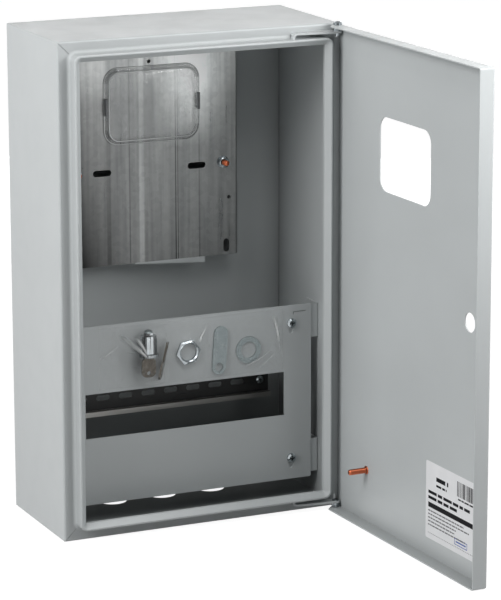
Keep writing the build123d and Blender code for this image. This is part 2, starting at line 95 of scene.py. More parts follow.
class Graph:
    """A shader node tree with short ways to add and join nodes."""

    MIX_FIRST = 6
    MIX_SECOND = 7
    MIX_RESULT = 2

    def __init__(self, tree: bpy.types.NodeTree) -> None:
        """Keep the tree that nodes are added to."""
        self.tree = tree

    def add(self, kind: str, settings: Optional[Dict[str, object]] = None,
            **inputs: object) -> bpy.types.Node:
        """Add a node.

        Args:
            kind: Blender's node type.
            settings: properties of the node itself.
            inputs: input sockets by name, underscores for spaces, as numbers or sockets.

        Returns:
            The new node.
        """
        node = self.tree.nodes.new(kind)
        for key, value in (settings or {}).items():
            setattr(node, key, value)
        for key, value in inputs.items():
            self.feed(node.inputs[key.replace("_", " ")], value)
        return node

    def feed(self, socket: Socket, value: object) -> None:
        """Link a socket to another one, or set its number.

        Args:
            socket: the input.
            value: another node's output, a number or a colour.
        """
        if isinstance(value, bpy.types.NodeSocket):
            self.tree.links.new(value, socket)
        else:
            socket.default_value = value

    def maths(self, operation: str, first: Value, second: Value = 0.0, clamp: bool = False) -> Socket:
        """Add one arithmetic node.

        Args:
            operation: Blender's name of it.
            first: the first number.
            second: the second number.
            clamp: holds the result between 0 and 1.

        Returns:
            The result.
        """
        node = self.add("ShaderNodeMath", {"operation": operation, "use_clamp": clamp})
        self.feed(node.inputs[0], first)
        self.feed(node.inputs[1], second)
        return node.outputs[0]

    def times(self, first: Value, second: Value) -> Socket:
        """Return two values multiplied."""
        return self.maths("MULTIPLY", first, second)

    def plus(self, first: Value, second: Value) -> Socket:
        """Return two values added."""
        return self.maths("ADD", first, second)

    def away(self, value: Socket, middle: float) -> Socket:
        """Return how far a value lies from a number."""
        return self.maths("ABSOLUTE", self.maths("SUBTRACT", value, middle))

    def ramp(self, value: Socket, span: Span, results: Span = RISE) -> Socket:
        """Move a value from one range to another, held at its ends.

        Args:
            value: the value.
            span: its range.
            results: what the two ends of that range become.

        Returns:
            The moved value.
        """
        node = self.add("ShaderNodeMapRange", Value=value)
        for name, number in zip(("From Min", "From Max", "To Min", "To Max"), (*span, *results)):
            node.inputs[name].default_value = number
        return node.outputs["Result"]

    def blend(self, factor: Value, first: Paint, second: Paint, mode: str = "MIX") -> Socket:
        """Mix two colours.

        Args:
            factor: the share of the second one.
            first: the colour at 0.
            second: the colour at 1.
            mode: Blender's way of mixing.

        Returns:
            The mixed colour.
        """
        node = self.add("ShaderNodeMix", {"data_type": "RGBA", "blend_type": mode})
        self.feed(node.inputs[0], factor)
        for place, paint in ((self.MIX_FIRST, first), (self.MIX_SECOND, second)):
            self.feed(node.inputs[place], paint if isinstance(paint, bpy.types.NodeSocket) else (*paint, 1.0))
        return node.outputs[self.MIX_RESULT]

    def here(self) -> Socket:
        """Return the place on the object, in metres."""
        return self.add("ShaderNodeTexCoord").outputs["Object"]

    def split(self, vector: Socket) -> bpy.types.bpy_prop_collection:
        """Return a vector's X, Y and Z outputs."""
        return self.add("ShaderNodeSeparateXYZ", Vector=vector).outputs

    def facing(self) -> Socket:
        """Return the direction that the surface looks in."""
        return self.add("ShaderNodeNewGeometry").outputs["Normal"]

    def spots(self, scale: Value, detail: float = 2.0, where: Optional[Socket] = None) -> Socket:
        """Add a cloud of soft noise.

        Args:
            scale: spots in a metre.
            detail: finer layers in it.
            where: the coordinates, or the place on the object.

        Returns:
            A value between 0 and 1.
        """
        node = self.add("ShaderNodeTexNoise", Vector=where or self.here(), Scale=scale, Detail=detail)
        return node.outputs["Fac"]

    def bump(self, shader: bpy.types.Node, height: Socket, strength: float, distance: float) -> None:
        """Raise the shader's surface by a height.

        Args:
            shader: the shader.
            height: the height, from 0 to 1.
            strength: how much of it shows.
            distance: what 1 stands for, in metres.
        """
        node = self.add("ShaderNodeBump", Height=height, Strength=strength, Distance=distance)
        self.feed(shader.inputs["Normal"], node.outputs["Normal"])


def fresh_graph(owner: Union[bpy.types.Material, bpy.types.World]) -> Graph:
    """Turn on the nodes of a material or world and empty them.

    Args:
        owner: the material or world.

    Returns:
        Its empty node tree.
    """
    owner.use_nodes = True
    owner.node_tree.nodes.clear()
    return Graph(owner.node_tree)


def scaled(colour: Colour, share: float) -> Colour:
    """Return a colour with each part multiplied, at most 1."""
    return tuple(min(1.0, part * share) for part in colour)


class Effect:
    """A shader node group that several finishes share, built the first time it is placed."""

    made: Dict[str, bpy.types.NodeTree] = {}
    title = "effect"
    usual: Dict[str, float] = {}
    outputs: Tuple[str, ...] = ("Mask",)

    def fill(self, graph: Graph, given: Sockets) -> Sockets:
        """Draw the group's nodes.

        Args:
            graph: the group's nodes.
            given: the group's inputs.

        Returns:
            A socket for each output.
        """
        raise NotImplementedError

    def tree(self) -> bpy.types.NodeTree:
        """Build the node group, or find it if it is built already.

        Returns:
            The node group.
        """
        if self.title in Effect.made:
            return Effect.made[self.title]
        tree = bpy.data.node_groups.new(self.title, "ShaderNodeTree")
        for key, number in self.usual.items():
            socket = tree.interface.new_socket(key, in_out="INPUT", socket_type="NodeSocketFloat")
            socket.default_value = number
        for key in self.outputs:
            tree.interface.new_socket(key, in_out="OUTPUT", socket_type="NodeSocketFloat")
        graph = Graph(tree)
        source = graph.add("NodeGroupInput")
        results = self.fill(graph, {key: source.outputs[key] for key in self.usual})
        sink = graph.add("NodeGroupOutput")
        for key in self.outputs:
            graph.feed(sink.inputs[key], results[key])
        Effect.made[self.title] = tree
        return tree

    def place(self, graph: Graph, **numbers: float) -> Sockets:
        """Put the group in a material.

        Args:
            graph: the material's nodes.
            numbers: inputs that aren't at their usual values, underscores for spaces.

        Returns:
            The group's outputs.
        """
        node = graph.add("ShaderNodeGroup", {"node_tree": self.tree()}, **numbers)
        return {socket.name: socket for socket in node.outputs}


@dataclass(frozen=True)
class SprayedCoat(Effect):
    """Orange-peel waviness of a sprayed coat, with a cloudy tone."""

    title = "sprayed_coat"
    usual = {"Grain": 900.0, "Cloud": 9.0}
    outputs = ("Height", "Tone")
    wave_scale: float = 0.22
    fine_share: float = 0.55
    wave_share: float = 0.45
    wave_detail: float = 1.0
    cloud_detail: float = 3.0
    cloud_span: Span = (0.25, 0.75)

    def fill(self, graph: Graph, given: Sockets) -> Sockets:
        """Draw fine and broad waves, and the cloud.

        Args:
            graph: the group's nodes.
            given: the group's inputs.

        Returns:
            Height and Tone.
        """
        fine = graph.spots(given["Grain"], self.wave_detail)
        wave = graph.spots(graph.times(given["Grain"], self.wave_scale), self.wave_detail)
        height = graph.plus(graph.times(fine, self.fine_share), graph.times(wave, self.wave_share))
        cloud = graph.spots(given["Cloud"], self.cloud_detail)
        return {"Height": height, "Tone": graph.ramp(cloud, self.cloud_span)}


@dataclass(frozen=True)
class EdgeWear(Effect):
    """Broken wear along sharp edges."""

    title = "edge_wear"
    usual = {"Radius": 0.0006, "Gain": 5.0, "Break": 260.0}
    samples: int = 4
    break_detail: float = 3.0
    break_span: Span = (0.38, 0.62)

    def fill(self, graph: Graph, given: Sockets) -> Sockets:
        """Compare the rounded edge with the sharp one.

        Args:
            graph: the group's nodes.
            given: the group's inputs.

        Returns:
            Mask.
        """
        rounded = graph.add("ShaderNodeBevel", {"samples": self.samples}, Radius=given["Radius"])
        dot = graph.add("ShaderNodeVectorMath", {"operation": "DOT_PRODUCT"})
        graph.feed(dot.inputs[0], rounded.outputs["Normal"])
        graph.feed(dot.inputs[1], graph.facing())
        highlight_tone = graph.maths("SUBTRACT", 1.0, dot.outputs["Value"])
        broken = graph.ramp(graph.spots(given["Break"], self.break_detail), self.break_span)
        worn = graph.maths("MULTIPLY", highlight_tone, given["Gain"], True)
        return {"Mask": graph.maths("MULTIPLY", worn, broken, True)}


@dataclass(frozen=True)
class CornerShade(Effect):
    """Painted shade that darkens corners, channels and recesses."""

    title = "corner_shade"
    usual = {"Reach": 0.02}
    samples: int = 6
    open_span: Span = (0.95, 0.30)

    def fill(self, graph: Graph, given: Sockets) -> Sockets:
        """Find where the piece closes in on itself.

        Args:
            graph: the group's nodes.
            given: the group's inputs.

        Returns:
            Mask.
        """
        settings = {"samples": self.samples, "only_local": True}
        # Painted shade: the occlusion darkens the piece where it closes in on itself.
        free = graph.add("ShaderNodeAmbientOcclusion", settings, Distance=given["Reach"]).outputs["AO"]
        return {"Mask": graph.ramp(free, self.open_span)}


@dataclass(frozen=True)
class SettledDust(Effect):
    """Fine dust on faces that look up."""

    title = "settled_dust"
    usual = {"Amount": 0.3, "Patch": 22.0}
    level_span: Span = (0.55, 0.95)
    patch_detail: float = 5.0
    patch_span: Span = (0.35, 0.75)
    patch_share: float = 0.7
    speck_scale: float = 60.0
    speck_span: Span = (0.5, 0.68)
    speck_share: float = 0.3

    def fill(self, graph: Graph, given: Sockets) -> Sockets:
        """Scatter patches and specks on level faces.

        Args:
            graph: the group's nodes.
            given: the group's inputs.

        Returns:
            Mask.
        """
        level = graph.ramp(graph.split(graph.facing())["Z"], self.level_span)
        patch = graph.ramp(graph.spots(given["Patch"], self.patch_detail), self.patch_span)
        speck = graph.spots(graph.times(given["Patch"], self.speck_scale))
        speck = graph.ramp(speck, self.speck_span)
        layer = graph.plus(graph.times(patch, self.patch_share), graph.times(speck, self.speck_share))
        return {"Mask": graph.maths("MULTIPLY", graph.times(level, layer), given["Amount"], True)}


@dataclass(frozen=True)
class RolledSheet(Effect):
    """Rolling marks drawn out along the sheet, and its spangle."""

    usual = {"Broad Scale": 0.55, "Fine Scale": 4.5, "Spangle Scale": 210.0}
    outputs = ("Broad", "Fine", "Spangle")
    grain: Grain = Grain.UPRIGHT
    broad_detail: float = 4.0
    fine_detail: float = 5.0
    mark_span: Span = (0.3, 0.7)

    @property
    def title(self) -> str:
        """Return the group's name, one for each direction."""
        return "rolled_sheet_" + self.grain.name.lower()

    def fill(self, graph: Graph, given: Sockets) -> Sockets:
        """Draw two widths of rolling marks and the spangle.

        Args:
            graph: the group's nodes.
            given: the group's inputs.

        Returns:
            Broad, Fine and Spangle.
        """
        place = graph.here()
        drawn = graph.add("ShaderNodeVectorMath", {"operation": "MULTIPLY"})
        graph.feed(drawn.inputs[0], place)
        graph.feed(drawn.inputs[1], self.grain.value)
        broad = graph.spots(given["Broad Scale"], self.broad_detail, drawn.outputs["Vector"])
        fine = graph.spots(given["Fine Scale"], self.fine_detail, drawn.outputs["Vector"])
        cells = graph.add("ShaderNodeTexVoronoi", Vector=place, Scale=given["Spangle Scale"])
        spangle = graph.add("ShaderNodeSeparateColor", Color=cells.outputs["Color"]).outputs[0]
        return {"Broad": graph.ramp(broad, self.mark_span), "Fine": graph.ramp(fine, self.mark_span),
                "Spangle": spangle}


@dataclass(frozen=True)
class Handled(Effect):
    """Wiped and handled patches that change the gloss."""

    title = "handled"
    usual = {"Size": 14.0}
    bend_detail: float = 2.0
    bend: float = 0.05
    swipe_scale: float = 3.0
    swipe_detail: float = 6.0
    swipe_span: Span = (0.42, 0.66)

    def fill(self, graph: Graph, given: Sockets) -> Sockets:
        """Draw noise on a bent place.

        Args:
            graph: the group's nodes.
            given: the group's inputs.

        Returns:
            Mask.
        """
        place = graph.here()
        bent = graph.add("ShaderNodeTexNoise", Vector=place, Scale=given["Size"], Detail=self.bend_detail)
        moved = graph.add("ShaderNodeVectorMath", {"operation": "MULTIPLY_ADD"})
        graph.feed(moved.inputs[0], bent.outputs["Color"])
        graph.feed(moved.inputs[1], (self.bend,) * 3)
        graph.feed(moved.inputs[2], place)
        size = graph.times(given["Size"], self.swipe_scale)
        swipe = graph.spots(size, self.swipe_detail, moved.outputs["Vector"])
        return {"Mask": graph.ramp(swipe, self.swipe_span)}


PEEL = SprayedCoat()
EDGES = EdgeWear()
CORNER_SHADE = CornerShade()
DUST = SettledDust()
SMEARS = Handled()
STREAKS = {grain: RolledSheet(grain) for grain in Grain}


class Finish:
    """A surface finish that makes one material, the first time it is asked for."""

    made: Dict[str, bpy.types.Material] = {}
    title = "finish"

    def material(self) -> bpy.types.Material:
        """Make the finish's material, or find it if it is made already.

        Returns:
            The material.
        """
        if self.title not in Finish.made:
            material = bpy.data.materials.new(self.title)
            graph = fresh_graph(material)
            shader = graph.add("ShaderNodeBsdfPrincipled")
            output = graph.add("ShaderNodeOutputMaterial")
            graph.feed(output.inputs["Surface"], shader.outputs["BSDF"])
            self.draw(graph, shader)
            Finish.made[self.title] = material
        return Finish.made[self.title]

    def draw(self, graph: Graph, shader: bpy.types.Node) -> None:
        """Draw the finish's nodes round the shader."""
        raise NotImplementedError


@dataclass(frozen=True)
class PowderCoat(Finish):
    """Satin sprayed coat on sheet steel."""

    title: str = "powder_coat_satin"
    pale: Colour = (0.548, 0.575, 0.580)
    deep: Colour = (0.520, 0.546, 0.551)
    rubbed: Colour = (0.64, 0.66, 0.66)
    dusty: Colour = (0.500, 0.495, 0.475)
    # Colour of the painted shade.
    shade_tone: Colour = (0.03, 0.033, 0.034)
    rub_share: float = 0.25
    dust: float = 0.22
    dust_dulling: float = 0.3
    # Strength of the painted shade in corners.
    corners: float = 0.45
    gloss: Span = (0.33, 0.41)
    specular: float = 0.40
    peel_strength: float = 0.35
    peel_depth: float = 0.00006

    def draw(self, graph: Graph, shader: bpy.types.Node) -> None:
        """Draw tone, edge wear, dust, painted shade and peel.

        Args:
            graph: the material's nodes.
            shader: the shader that they feed.
        """
        coat = PEEL.place(graph)
        rub = EDGES.place(graph, Gain=3.0)
        dust = DUST.place(graph, Amount=self.dust)
        smear = SMEARS.place(graph)
        crevice_shade = CORNER_SHADE.place(graph, Reach=0.03)
        tone = graph.blend(coat["Tone"], self.deep, self.pale)
        tone = graph.blend(graph.times(rub["Mask"], self.rub_share), tone, self.rubbed)
        tone = graph.blend(dust["Mask"], tone, self.dusty)
        # Painted shade: corners darkened by occlusion, with any further painted shade of the coat.
        painted_shade = graph.maths("MAXIMUM", graph.times(crevice_shade["Mask"], self.corners), self.extra_shade(graph))
        graph.feed(shader.inputs["Base Color"], graph.blend(painted_shade, tone, self.shade_tone))
        rough = graph.ramp(smear["Mask"], RISE, self.gloss)
        rough = graph.plus(rough, graph.times(dust["Mask"], self.dust_dulling))
        graph.feed(shader.inputs["Roughness"], rough)
        graph.bump(shader, coat["Height"], self.peel_strength, self.peel_depth)
        shader.inputs["Specular IOR Level"].default_value = self.specular

    def extra_shade(self, graph: Graph) -> Value:
        """Return how much painted shade darkens the coat besides the corners."""
        return 0.0


@dataclass(frozen=True)
class ShellCoat(PowderCoat):
    """The cabinet's coat, with painted shade at the foot of the inside and behind the plate's corners, in
    metres.
    """

    title: str = "powder_coat_shell"
    sides: Span = (0.149, 0.1496)
    ends: Span = (0.249, 0.2496)
    back: Span = (-0.0009, -0.0003)
    foot: Span = (-0.17, -0.07)
    foot_depth: Span = (-0.12, -0.08)
    foot_gain: float = 0.62
    wall: Span = (-0.004, -0.002)
    corner_inner: Span = (0.070, 0.080)
    corner_outer: Span = (0.095, 0.102)
    corner_low: Span = (-0.0085, -0.005)
    corner_high: Span = (0.066, 0.074)
    corner_gain: float = 0.97

    def extra_shade(self, graph: Graph) -> Socket:
        """Draw painted shade on the inner faces.

        Args:
            graph: the material's nodes.

        Returns:
            A mask from 0, unshaded, to 1, black.
        """
        axes = graph.split(graph.here())
        aside = graph.maths("ABSOLUTE", axes["X"])
        above = graph.maths("ABSOLUTE", axes["Z"])
        inside = graph.times(graph.ramp(aside, self.sides, FALL), graph.ramp(above, self.ends, FALL))
        inside = graph.times(inside, graph.ramp(axes["Y"], self.back, FALL))
        # Painted shade: darker low down and deep in the box.
        low = graph.times(graph.ramp(axes["Z"], self.foot, (self.foot_gain, 0.0)),
                          graph.ramp(axes["Y"], self.foot_depth))
        # Painted shade on the back wall behind the plate's lower corners and just beside them.
        across = graph.times(graph.ramp(aside, self.corner_inner),
                             graph.ramp(aside, self.corner_outer, (self.corner_gain, 0.0)))
        upright = graph.times(graph.ramp(axes["Z"], self.corner_low),
                              graph.ramp(axes["Z"], self.corner_high, FALL))
        behind = graph.times(graph.times(graph.ramp(axes["Y"], self.wall), upright), across)
        return graph.times(inside, graph.maths("MAXIMUM", low, behind))


@dataclass(frozen=True)
class RolledZinc(Finish):
    """Galvanised sheet with rolling streaks and faint spangle."""

    title: str = "galvanised_sheet"
    grain: Grain = Grain.UPRIGHT
    dark: Colour = (0.20, 0.207, 0.21)
    light: Colour = (0.46, 0.468, 0.46)
    rubbed: Colour = (0.70, 0.70, 0.68)
    # Colour of the painted shade in corners.
    shade_tone: Colour = (0.012, 0.012, 0.012)
    broad_share: float = 0.55
    fine_share: float = 0.30
    spangle_share: float = 0.15
    rub_share: float = 0.4
    corners: float = 0.6
    gloss: float = 0.26
    fine_dulling: float = 0.16
    smear_dulling: float = 0.08
    metal: float = 0.85
    mark_strength: float = 0.25
    mark_depth: float = 0.00004

    def draw(self, graph: Graph, shader: bpy.types.Node) -> None:
        """Draw streaks, spangle, edge wear, any painted light of the sheet, and painted shade in corners.

        Args:
            graph: the material's nodes.
            shader: the shader that they feed.
        """
        rolled = STREAKS[self.grain].place(graph)
        rub = EDGES.place(graph, Gain=4.0, Radius=0.0005)
        smear = SMEARS.place(graph, Size=9.0)
        crevice_shade = CORNER_SHADE.place(graph, Reach=0.012)
        mixed = graph.plus(graph.times(rolled["Broad"], self.broad_share),
                           graph.times(rolled["Fine"], self.fine_share))
        mixed = graph.plus(mixed, graph.times(rolled["Spangle"], self.spangle_share))
        tone = self.paint_light(graph, graph.blend(mixed, self.dark, self.light))
        tone = graph.blend(graph.times(rub["Mask"], self.rub_share), tone, self.rubbed)
        # Painted shade: corners darkened by occlusion.
        painted_shade = graph.times(crevice_shade["Mask"], self.corners)
        graph.feed(shader.inputs["Base Color"], graph.blend(painted_shade, tone, self.shade_tone))
        rough = graph.plus(graph.times(rolled["Fine"], self.fine_dulling),
                           graph.times(smear["Mask"], self.smear_dulling))
        graph.feed(shader.inputs["Roughness"], graph.plus(rough, self.gloss))
        graph.bump(shader, rolled["Fine"], self.mark_strength, self.mark_depth)
        shader.inputs["Metallic"].default_value = self.metal

    def paint_light(self, graph: Graph, tone: Socket) -> Socket:
        """Return the sheet's tone with its painted light and shade; the plain sheet from the mill has none.
        """
        return tone


@dataclass(frozen=True)
class PlateZinc(RolledZinc):
    """The meter plate's sheet: painted shade at one lower corner, painted light and a painted highlight under
    the top edge, with roller lines.

    Places are in metres, and a line is its middle, its half width and what it adds to the tone.
    """

    title: str = "galvanised_plate"
    shade_side: Span = (-0.085, -0.030)
    shade_rise: Span = (0.0, 0.20)
    shade_tones: Span = (0.0, 0.85)
    lit_rise: Span = (0.0, 0.19)
    lit_tones: Span = (0.58, 1.05)
    highlight_middle: float = 0.040
    highlight_reach: Span = (0.006, 0.044)
    highlight_rise: Span = (0.115, 0.175)
    highlight_gain: float = 1.75
    top_light_rise: Span = (0.165, 0.215)
    top_light_gain: float = 0.8
    line_core: float = 0.5
    lines: Tuple[Tuple[float, float, float], ...] = (
        (-0.0160, 0.0036, 0.35), (0.0217, 0.0007, -0.5), (0.0241, 0.0006, -0.4),
        (-0.0290, 0.0009, -0.25), (-0.0520, 0.0030, -0.15), (0.0480, 0.0010, -0.2),
    )

    def paint_light(self, graph: Graph, tone: Socket) -> Socket:
        """Paint light and shade on the sheet from corner to corner, a painted highlight under the top edge,
        and draw the roller lines.

        Args:
            graph: the material's nodes.
            tone: the sheet's tone from the mill.

        Returns:
            The shaded tone.
        """
        axes = graph.split(graph.here())
        # Painted shade and light: darker low down, most at the lower left corner, lighter towards the top.
        inner = graph.ramp(axes["X"], self.shade_side)
        shaded_side = graph.ramp(axes["Z"], self.shade_rise, self.shade_tones)
        lit_side = graph.ramp(axes["Z"], self.lit_rise, self.lit_tones)
        shade = graph.plus(graph.times(graph.maths("SUBTRACT", 1.0, inner), shaded_side), graph.times(inner, lit_side))
        # Painted highlight: a bright reflection under the top edge.
        aside = graph.ramp(graph.away(axes["X"], self.highlight_middle), self.highlight_reach, FALL)
        painted_highlight = graph.times(aside, graph.ramp(axes["Z"], self.highlight_rise))
        shade = graph.plus(shade, graph.times(painted_highlight, self.highlight_gain))
        # Painted light along the top edge.
        shade = graph.plus(shade, graph.ramp(axes["Z"], self.top_light_rise, (0.0, self.top_light_gain)))
        for middle, half, gain in self.lines:
            away = graph.away(axes["X"], middle)
            shade = graph.plus(shade, graph.ramp(away, (half * self.line_core, half), (gain, 0.0)))
        grey = graph.add("ShaderNodeCombineColor", Red=shade, Green=shade, Blue=shade).outputs["Color"]
        return graph.blend(1.0, tone, grey, "MULTIPLY")


@dataclass(frozen=True)
class RailZinc(RolledZinc):
    """The rail's sheet: painted shade in the web, painted highlights on the flanges and on faces that look
    up.
    """

    title: str = "galvanised_rail"
    grain: Grain = Grain.LEVEL
    # Tones set near black: painted shade and dark reflection in the web.
    dark: Colour = (0.008, 0.0085, 0.009)
    light: Colour = (0.026, 0.0265, 0.026)
    # Colour of the painted highlights.
    highlight_tone: Colour = (0.95, 0.93, 0.88)
    metal: float = 0.40
    corners: float = 0.35
    flange: Span = (-0.0460, -0.0452)
    level: Span = (0.4, 0.9)
    line_turns: float = 2800.0
    line_span: Span = (-0.1, 0.7)
    line_tones: Span = (0.05, 0.8)
    length: Span = (-0.11, 0.10)
    length_tones: Span = (1.0, 0.3)

    def paint_light(self, graph: Graph, tone: Socket) -> Socket:
        """Paint highlights on the flanges and on the faces that look up, brightest at one end.

        Args:
            graph: the material's nodes.
            tone: the sheet's tone from the mill.

        Returns:
            The brightened tone.
        """
        axes = graph.split(graph.here())
        # Painted highlights: lines on faces that look up and on the flanges, fading along the rail.
        ahead = graph.ramp(axes["Y"], self.flange, FALL)
        line = graph.maths("SINE", graph.times(axes["Y"], self.line_turns))
        upper = graph.times(graph.ramp(graph.split(graph.facing())["Z"], self.level),
                            graph.ramp(line, self.line_span, self.line_tones))
        shown = graph.times(graph.maths("MAXIMUM", upper, ahead),
                            graph.ramp(axes["X"], self.length, self.length_tones))
        return graph.blend(shown, tone, self.highlight_tone)


@dataclass(frozen=True)
class Plated(Finish):
    """Plated small parts: zinc, copper, chrome or dull nickel."""

    title: str = "zinc_plate"
    clean: Colour = (0.37, 0.42, 0.43)
    tarnish: Colour = (0.24, 0.27, 0.27)
    edge: Colour = (0.62, 0.66, 0.67)
    # Dark colour of the painted reflection bands.
    reflected_dark: Colour = (0.02, 0.022, 0.024)
    # Colour of the painted shade in recesses.
    shade_tone: Colour = (0.012, 0.012, 0.012)
    gloss: float = 0.24
    spread: float = 0.14
    cloud: float = 160.0
    # Strength of the painted reflection bands.
    reflection_bands: float = 0.0
    reflection_span: Span = (0.35, 0.62)
    tarnish_share: float = 0.55
    edge_share: float = 0.6
    corners: float = 0.85
    grain_strength: float = 0.12
    grain_depth: float = 0.00002

    def draw(self, graph: Graph, shader: bpy.types.Node) -> None:
        """Draw tarnish clouds, painted reflection bands, polished edges and painted shade in recesses.

        Args:
            graph: the material's nodes.
            shader: the shader that they feed.
        """
        smear = SMEARS.place(graph, Size=self.cloud)
        wear = EDGES.place(graph, Gain=4.0, Radius=0.0003, Break=700.0)
        coat = PEEL.place(graph, Grain=2600.0, Cloud=self.cloud)
        crevice_shade = CORNER_SHADE.place(graph, Reach=0.004)
        tone = graph.blend(graph.times(coat["Tone"], self.tarnish_share), self.clean, self.tarnish)
        # Painted reflection: upright dark bands stand for what the metal mirrors.
        if self.reflection_bands:
            rolled = STREAKS[Grain.UPRIGHT].place(graph, Fine_Scale=4.0)
            reflection = graph.ramp(rolled["Fine"], self.reflection_span, (self.reflection_bands, 0.0))
            tone = graph.blend(reflection, tone, self.reflected_dark)
        tone = graph.blend(graph.times(wear["Mask"], self.edge_share), tone, self.edge)
        # Painted shade: recesses darkened by occlusion.
        painted_shade = graph.times(crevice_shade["Mask"], self.corners)
        graph.feed(shader.inputs["Base Color"], graph.blend(painted_shade, tone, self.shade_tone))
        rough = graph.ramp(smear["Mask"], RISE, (self.gloss, self.gloss + self.spread))
        graph.feed(shader.inputs["Roughness"], rough)
        graph.bump(shader, coat["Height"], self.grain_strength, self.grain_depth)
        shader.inputs["Metallic"].default_value = 1.0


@dataclass(frozen=True)
class Moulded(Finish):
    """Moulded grey plastic."""

    title: str = "moulded_plastic"
    colour: Colour = (0.20, 0.205, 0.21)
    low_share: float = 0.85
    edge_share: float = 1.8
    gloss: Span = (0.38, 0.48)
    grain_strength: float = 0.2
    grain_depth: float = 0.00003

    def draw(self, graph: Graph, shader: bpy.types.Node) -> None:
        """Draw a fine mould texture and paler edges.

        Args:
            graph: the material's nodes.
            shader: the shader that they feed.
        """
        coat = PEEL.place(graph, Grain=1800.0, Cloud=60.0)
        wear = EDGES.place(graph, Gain=3.0, Radius=0.0003)
        tone = graph.blend(coat["Tone"], scaled(self.colour, self.low_share), self.colour)
        tone = graph.blend(wear["Mask"], tone, scaled(self.colour, self.edge_share))
        graph.feed(shader.inputs["Base Color"], tone)
        graph.feed(shader.inputs["Roughness"], graph.ramp(coat["Tone"], RISE, self.gloss))
        graph.bump(shader, coat["Height"], self.grain_strength, self.grain_depth)


@dataclass(frozen=True)
class Clear(Finish):
    """Clear plastic: hardly seen where it is flat, pale along the marks that its mesh carries, painted
    highlights on folds and rims.
    """

    title: str = "pouch_film"
    tint: Colour = (0.86, 0.88, 0.88)
    low_share: float = 0.9
    flat: float = 0.03
    marked: float = 0.75
    gloss: float = 0.12
    spread: float = 0.1
    ripple_strength: float = 0.3
    ripple: float = 0.0002
    index: float = 2.0

    def draw(self, graph: Graph, shader: bpy.types.Node) -> None:
        """Let the mesh's marks decide how much of the plastic shows.

        Args:
            graph: the material's nodes.
            shader: the shader that they feed.
        """
        mark = graph.add("ShaderNodeAttribute", {"attribute_name": MARK}).outputs["Fac"]
        smear = SMEARS.place(graph, Size=50.0)
        coat = PEEL.place(graph, Grain=420.0, Cloud=40.0)
        tone = graph.blend(coat["Tone"], scaled(self.tint, self.low_share), self.tint)
        graph.feed(shader.inputs["Base Color"], tone)
        haze = graph.times(smear["Mask"], self.flat)
        shown = graph.plus(graph.times(mark, self.marked), self.flat)
        graph.feed(shader.inputs["Alpha"], graph.maths("ADD", shown, haze, True))
        rough = graph.ramp(smear["Mask"], RISE, (self.gloss, self.gloss + self.spread))
        graph.feed(shader.inputs["Roughness"], rough)
        graph.bump(shader, coat["Height"], self.ripple_strength, self.ripple)
        shader.inputs["IOR"].default_value = self.index


@dataclass(frozen=True)
class Paper(Finish):
    """Printed paper or its ink."""

    title: str = "label_paper"
    colour: Colour = (0.86, 0.865, 0.88)
    low_share: float = 0.93
    gloss: float = 0.5
    spread: float = 0.12
    shine: float = 0.2
    fibre_strength: float = 0.15
    fibre_depth: float = 0.00003

    def draw(self, graph: Graph, shader: bpy.types.Node) -> None:
        """Draw a faint fibre tone.

        Args:
            graph: the material's nodes.
            shader: the shader that they feed.
        """
        coat = PEEL.place(graph, Grain=1500.0, Cloud=45.0)
        tone = graph.blend(coat["Tone"], scaled(self.colour, self.low_share), self.colour)
        graph.feed(shader.inputs["Base Color"], tone)
        rough = graph.ramp(coat["Tone"], RISE, (self.gloss, self.gloss + self.spread))
        graph.feed(shader.inputs["Roughness"], rough)
        graph.bump(shader, coat["Height"], self.fibre_strength, self.fibre_depth)
        shader.inputs["Specular IOR Level"].default_value = self.shine


COAT = PowderCoat()
SHELL = ShellCoat()
SHEET = RolledZinc(dark=(0.06, 0.062, 0.063), light=(0.16, 0.163, 0.16))
PLATE = PlateZinc()
RAIL = RailZinc()
ZINC = Plated()
BRIGHT = Plated(title="bright_zinc", clean=(0.40, 0.44, 0.46), tarnish=(0.08, 0.09, 0.095),
                edge=(0.85, 0.88, 0.88), gloss=0.12, spread=0.06, reflection_bands=0.55)
SCREW = Plated(title="bright_screw", clean=(0.52, 0.57, 0.59), tarnish=(0.22, 0.24, 0.25),
               edge=(0.92, 0.95, 0.95), gloss=0.12, spread=0.06, reflection_bands=0.25)
NUT = Plated(title="bright_nut", clean=(0.46, 0.50, 0.52), tarnish=(0.26, 0.28, 0.30),
             edge=(0.80, 0.84, 0.85), gloss=0.14, spread=0.06)
COPPER = Plated(title="copper_plate", clean=(0.58, 0.16, 0.075), tarnish=(0.28, 0.075, 0.038),
                edge=(0.80, 0.36, 0.20), gloss=0.28)
CHROME = Plated(title="chrome_plate", clean=(0.62, 0.66, 0.68), tarnish=(0.34, 0.36, 0.37),
                gloss=0.10, spread=0.08, reflection_bands=0.9)
# Dark keys: their pale worn edges also stand as painted glints.
NICKEL = Plated(title="dull_nickel", clean=(0.085, 0.074, 0.060), tarnish=(0.030, 0.026, 0.021),
                edge=(0.55, 0.50, 0.44), gloss=0.22)
CLIP = Moulded()
WINDOW = Clear(title="clear_moulding", tint=(0.94, 0.96, 0.96), flat=0.07, marked=0.88, gloss=0.06,
               ripple=0.00003, index=2.4)
FILM = Clear()
LABEL = Paper()
INK = Paper(title="label_ink", colour=(0.012, 0.012, 0.014), gloss=0.6, shine=0.06)
INK_GREY = Paper(title="label_ink_grey", colour=(0.16, 0.16, 0.17), gloss=0.6, shine=0.06)
INK_BLUE = Paper(title="label_ink_blue", colour=(0.06, 0.12, 0.42), gloss=0.6, shine=0.06)


def dress_node(name: str, finish: Finish) -> None:
    """Give a CAD node its finish.

    Args:
        name: the node.
        finish: the finish that covers it.
    """
    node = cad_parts[name]
    node.data.materials.clear()
    node.data.materials.append(finish.material())
    LOG.info("dressed %s with %s", name, finish.title)


